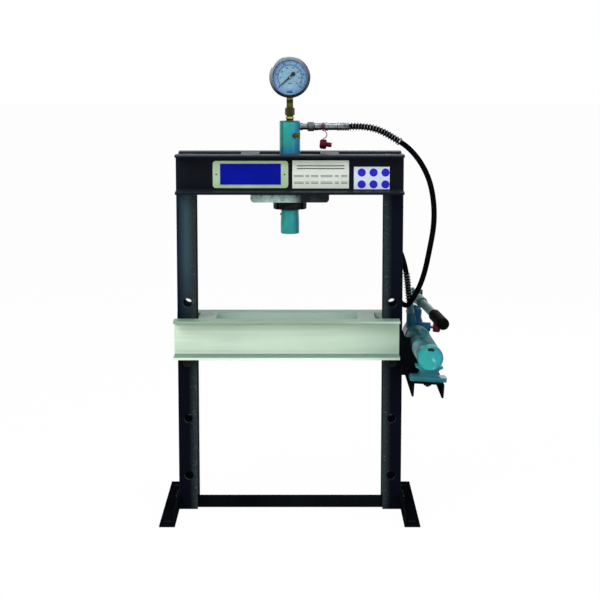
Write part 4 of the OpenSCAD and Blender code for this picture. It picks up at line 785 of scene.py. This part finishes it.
TICKS = tick_tree()
for name, count, radius_mm, length_mm, width_mm in (
        ("scale_outer_fine", 51, 41.4, 2.4, 0.7), ("scale_outer_main", 11, 40.8, 3.8, 1.5),
        ("scale_inner_fine", 71, 31.4, 2.2, 0.5), ("scale_inner_main", 15, 31.9, 3.4, 1.1)):
    grown(piece_from(name + "_start", [(0, 0, 0)], [], DIAL_INK), TICKS, {
        "Count": count, "Start": START, "Sweep": SWEEP, "Radius": radius_mm * MM, "Length": length_mm * MM,
        "Width": width_mm * MM, "Depth": 0.0002, "Centre": (0.0, PRINT_Y, DIAL_Z),
    }, name, "frame", DIAL_INK)


def band_panels(name, radius_mm, width_mm, steps=48):
    """A printed line round the scale, in short joined panels."""
    outlines = []
    for step in range(steps):
        angles = [START + SWEEP * (step + part) / steps for part in (0, 0.5, 1)]
        inner, outer = ([on_dial(a, (radius_mm + side * width_mm / 2) * MM) for a in angles] for side in (-1, 1))
        outlines.append(inner + outer[::-1])
    return panels(name, outlines, PRINT_Y, 0.05, 0.2, DIAL_INK)


band_panels("scale_outer_line", 42.6, 0.5)
band_panels("scale_inner_line", 29.9, 0.7)


def dial_number(text, share, radius_mm, size_mm):
    """One number on the dial, as a thin mesh that stands upright at its place round the scale."""
    curve = bpy.data.curves.new("number", "FONT")
    curve.body, curve.size, curve.resolution_u = text, size_mm * MM, 2
    curve.extrude, curve.offset = 0.00008, 0.00012
    curve.align_x, curve.align_y = "CENTER", "CENTER"
    holder = new_object("number", curve)
    mesh = bpy.data.meshes.new_from_object(holder.evaluated_get(bpy.context.evaluated_depsgraph_get()))
    bpy.data.objects.remove(holder)
    x, z = on_dial(START + SWEEP * share, radius_mm * MM)
    mesh.transform(Matrix.Translation((x, PRINT_Y, z)) @ Matrix.Rotation(math.pi / 2, 4, "X"))
    return mesh


def numbers(name, marks, radius_mm, size_mm):
    """All the numbers of one scale joined in one piece."""
    joined = bmesh.new()
    for i, mark in enumerate(marks):
        joined.from_mesh(dial_number(str(mark), i / (len(marks) - 1), radius_mm, size_mm))
    bmesh.ops.remove_doubles(joined, verts=joined.verts, dist=1e-7)
    mesh = bpy.data.meshes.new(name)
    joined.to_mesh(mesh)
    joined.free()
    mesh.materials.clear()
    mesh.materials.append(DIAL_INK)
    on_body(new_object(name, mesh), "frame")


numbers("numbers_outer", range(0, 11, 2), 35.6, 7.4)
numbers("numbers_inner", range(0, 71, 10), 24.4, 5.6)

# a pale ring on the needle's hub
HUB_MM = [(0.9, -0.1), (2.2, -0.1), (2.2, 0.35), (1.8, 0.6), (0.9, 0.6)]
turned("needle_hub", HUB_MM, (0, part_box("gauge_needle")[0].y, DIAL_Z), (0, -1, 0), CHROME, "needle",
       32)


# ---------- weld beads and rivets ----------

def bead_tree():
    """Small uneven beads along a line, as an electric weld leaves them."""
    tree, given = new_tree("weld_bead", [
        ("Spacing", "Float", 0.0026), ("Bead Radius", "Float", 0.0024), ("Unevenness", "Float", 0.25),
        ("Seed", "Int", 7)])
    line = add(tree, "GeometryNodeMeshToCurve", given["Geometry"])
    spaced = add(tree, "GeometryNodeCurveToPoints", {"Curve": line, "Length": given["Spacing"]},
                 out="Points", mode="LENGTH")
    bead = add(tree, "GeometryNodeMeshUVSphere", {"Segments": 8, "Rings": 5, "Radius": given["Bead Radius"]})
    least, most = (add(tree, MATH, 1.0, given["Unevenness"], operation=way) for way in ("SUBTRACT", "ADD"))
    size = add(tree, "FunctionNodeRandomValue", {2: least, 3: most, "Seed": given["Seed"]},
               out=1, data_type="FLOAT")
    row = add(tree, "GeometryNodeInstanceOnPoints", {
        "Points": spaced, "Instance": add(tree, "GeometryNodeSetShadeSmooth", bead), "Scale": size})
    return close_tree(tree, row, given["Material"])


BEAD = bead_tree()


def weld(name, lines, radius_mm, seed):
    """A run of weld on each line between two points in millimetres."""
    points = [tuple(Vector(p) * MM) for line in lines for p in line]
    mesh = bpy.data.meshes.new(name)
    mesh.from_pydata(points, [(2 * i, 2 * i + 1) for i in range(len(lines))], [])
    grown(new_object(name + "_seam", mesh), BEAD, {
        "Spacing": radius_mm * 1.05 * MM, "Bead Radius": radius_mm * MM, "Unevenness": 0.22, "Seed": seed,
    }, name, "frame", FRAME_PAINT)


# the beam's two channels are welded to the posts underneath and up the posts' inner corners
post_in, post_out, beam_base, beam_top = (v / MM for v in (POST_IN, POST_OUT, BEAM_LOW.z, BEAM_HIGH.z))
POST_FACE_Y = 50
beam_seams = []
for side in (-1, 1):
    for front in (-1, 1):
        face, corner = front * POST_FACE_Y, front * (POST_FACE_Y - 1)
        beam_seams.append(((side * (post_in + 3), face, beam_base), (side * (post_out - 2), face, beam_base)))
        beam_seams.append(((side * post_in, corner, beam_base + 6), (side * post_in, corner, beam_top - 10)))
weld("beam_welds", beam_seams, 2.3, 3)

SEAT_SEAM_Y = 45
seat_ends, seat_top = (SEAT_LOW.x / MM + 1.5, SEAT_HIGH.x / MM - 1.5), SEAT_HIGH.z / MM
weld("seat_welds", [((x, -SEAT_SEAM_Y, seat_top), (x, SEAT_SEAM_Y, seat_top)) for x in seat_ends], 2.2, 5)


def rivet_tree():
    """Domed rivet heads on a carrier's points, facing the front."""
    tree, given = new_tree("rivet_heads", [("Head Radius", "Float", 0.0022), ("Head Height", "Float", 0.0011)])
    head = add(tree, "GeometryNodeMeshUVSphere", {"Segments": 20, "Rings": 10, "Radius": given["Head Radius"]})
    flat = add(tree, MATH, given["Head Height"], given["Head Radius"], operation="DIVIDE")
    heads = add(tree, "GeometryNodeInstanceOnPoints", {
        "Points": given["Geometry"], "Instance": add(tree, "GeometryNodeSetShadeSmooth", head),
        "Scale": add(tree, "ShaderNodeCombineXYZ", 1.0, flat, 1.0)})
    return close_tree(tree, heads, given["Material"])


RIVET_INSET = 0.009
rivet_z = (plate_low.z + plate_high.z) / 2
rivet_places = [(x, plate_low.y, rivet_z) for x in (plate_low.x + RIVET_INSET, plate_high.x - RIVET_INSET)]
grown(piece_from("rivet_places", rivet_places, [], OXIDE), rivet_tree(),
      {"Head Radius": 0.0021, "Head Height": 0.0009}, "plate_rivets", "frame", OXIDE)

# the zinc end ring of the upper hose guard
END_RING_MM = [(7.15, -2.0), (10.0, -2.0), (10.5, -1.4), (10.5, 1.6), (10.0, 2.2), (7.15, 2.2)]
ring_at = hose_part(TOP_GUARD[1], TOP_GUARD[1] + POINT_GAP)
turned("guard_end_ring", END_RING_MM, tuple(ring_at[0]), tuple(ring_at[-1] - ring_at[0]), ZINC, "frame")


# ---------- light, floor and backdrop ----------

# each lamp has its place, the place it aims at, its width in metres and its power in watts
LAMPS = {
    "key": ((-1.9, -2.6, 2.7), (0, 0, 0.6), 1.8, 70),
    "fill": ((2.4, -2.8, 1.5), (0.1, 0, 0.6), 1.8, 29),
    "top": ((0.2, -0.4, 3.2), (0.1, 0, 0.4), 1.6, 26),
    "rim": ((1.2, 2.6, 2.0), (0, 0, 0.6), 1.5, 22),
}
for name, (place, aim, width, power) in LAMPS.items():
    lamp_data = bpy.data.lights.new(name, "AREA")
    lamp_data.energy, lamp_data.size = power, width
    lamp = new_object(name, lamp_data)
    lamp.location = place
    lamp.rotation_euler = (Vector(aim) - Vector(place)).to_track_quat("-Z", "Y").to_euler()


def seen_directly(tree):
    """1 for the rays that reach the camera, straight or by way of a mirror or glass."""
    rays = add(tree, "ShaderNodeLightPath", out=None)
    share = add(tree, MATH, rays["Is Camera Ray"], rays["Is Glossy Ray"], operation="MAXIMUM")
    return add(tree, MATH, share, rays["Is Transmission Ray"], operation="MAXIMUM")


# the world looks plain white and lights the object at about half of that
SKY_LIGHT, SKY_SEEN = 0.48, 1.0
world = bpy.data.worlds.new("studio")
bpy.context.scene.world = world
world.use_nodes = True
world.node_tree.nodes.clear()
skies = [add(world.node_tree, "ShaderNodeBackground", {"Color": "#ffffff", "Strength": strength})
         for strength in (SKY_LIGHT, SKY_SEEN)]
sky = add(world.node_tree, "ShaderNodeMixShader", seen_directly(world.node_tree), *skies)
add(world.node_tree, "ShaderNodeOutputWorld", sky, out=None)

# the floor is matt white paper that glows where it is seen, so that it runs into the white behind it
FLOOR_HALF, FLOOR_GLOW = 30, 0.97
floor_material, tree, place = new_material("matt_white_paper")
paper = add(tree, "ShaderNodeBsdfPrincipled", {"Base Color": "#f4f4f4", "Roughness": 0.9, "Specular IOR Level": 0.1})
glow = add(tree, "ShaderNodeEmission", {"Color": "#ffffff", "Strength": 1.0})
share = overlap(tree, seen_directly(tree), FLOOR_GLOW)
add(tree, "ShaderNodeOutputMaterial", add(tree, "ShaderNodeMixShader", share, paper, glow), out=None)
corners = [(x * FLOOR_HALF, y * FLOOR_HALF, 0) for x, y in ((-1, -1), (1, -1), (1, 1), (-1, 1))]
piece_from("floor", corners, [(0, 1, 2, 3)], floor_material, False)
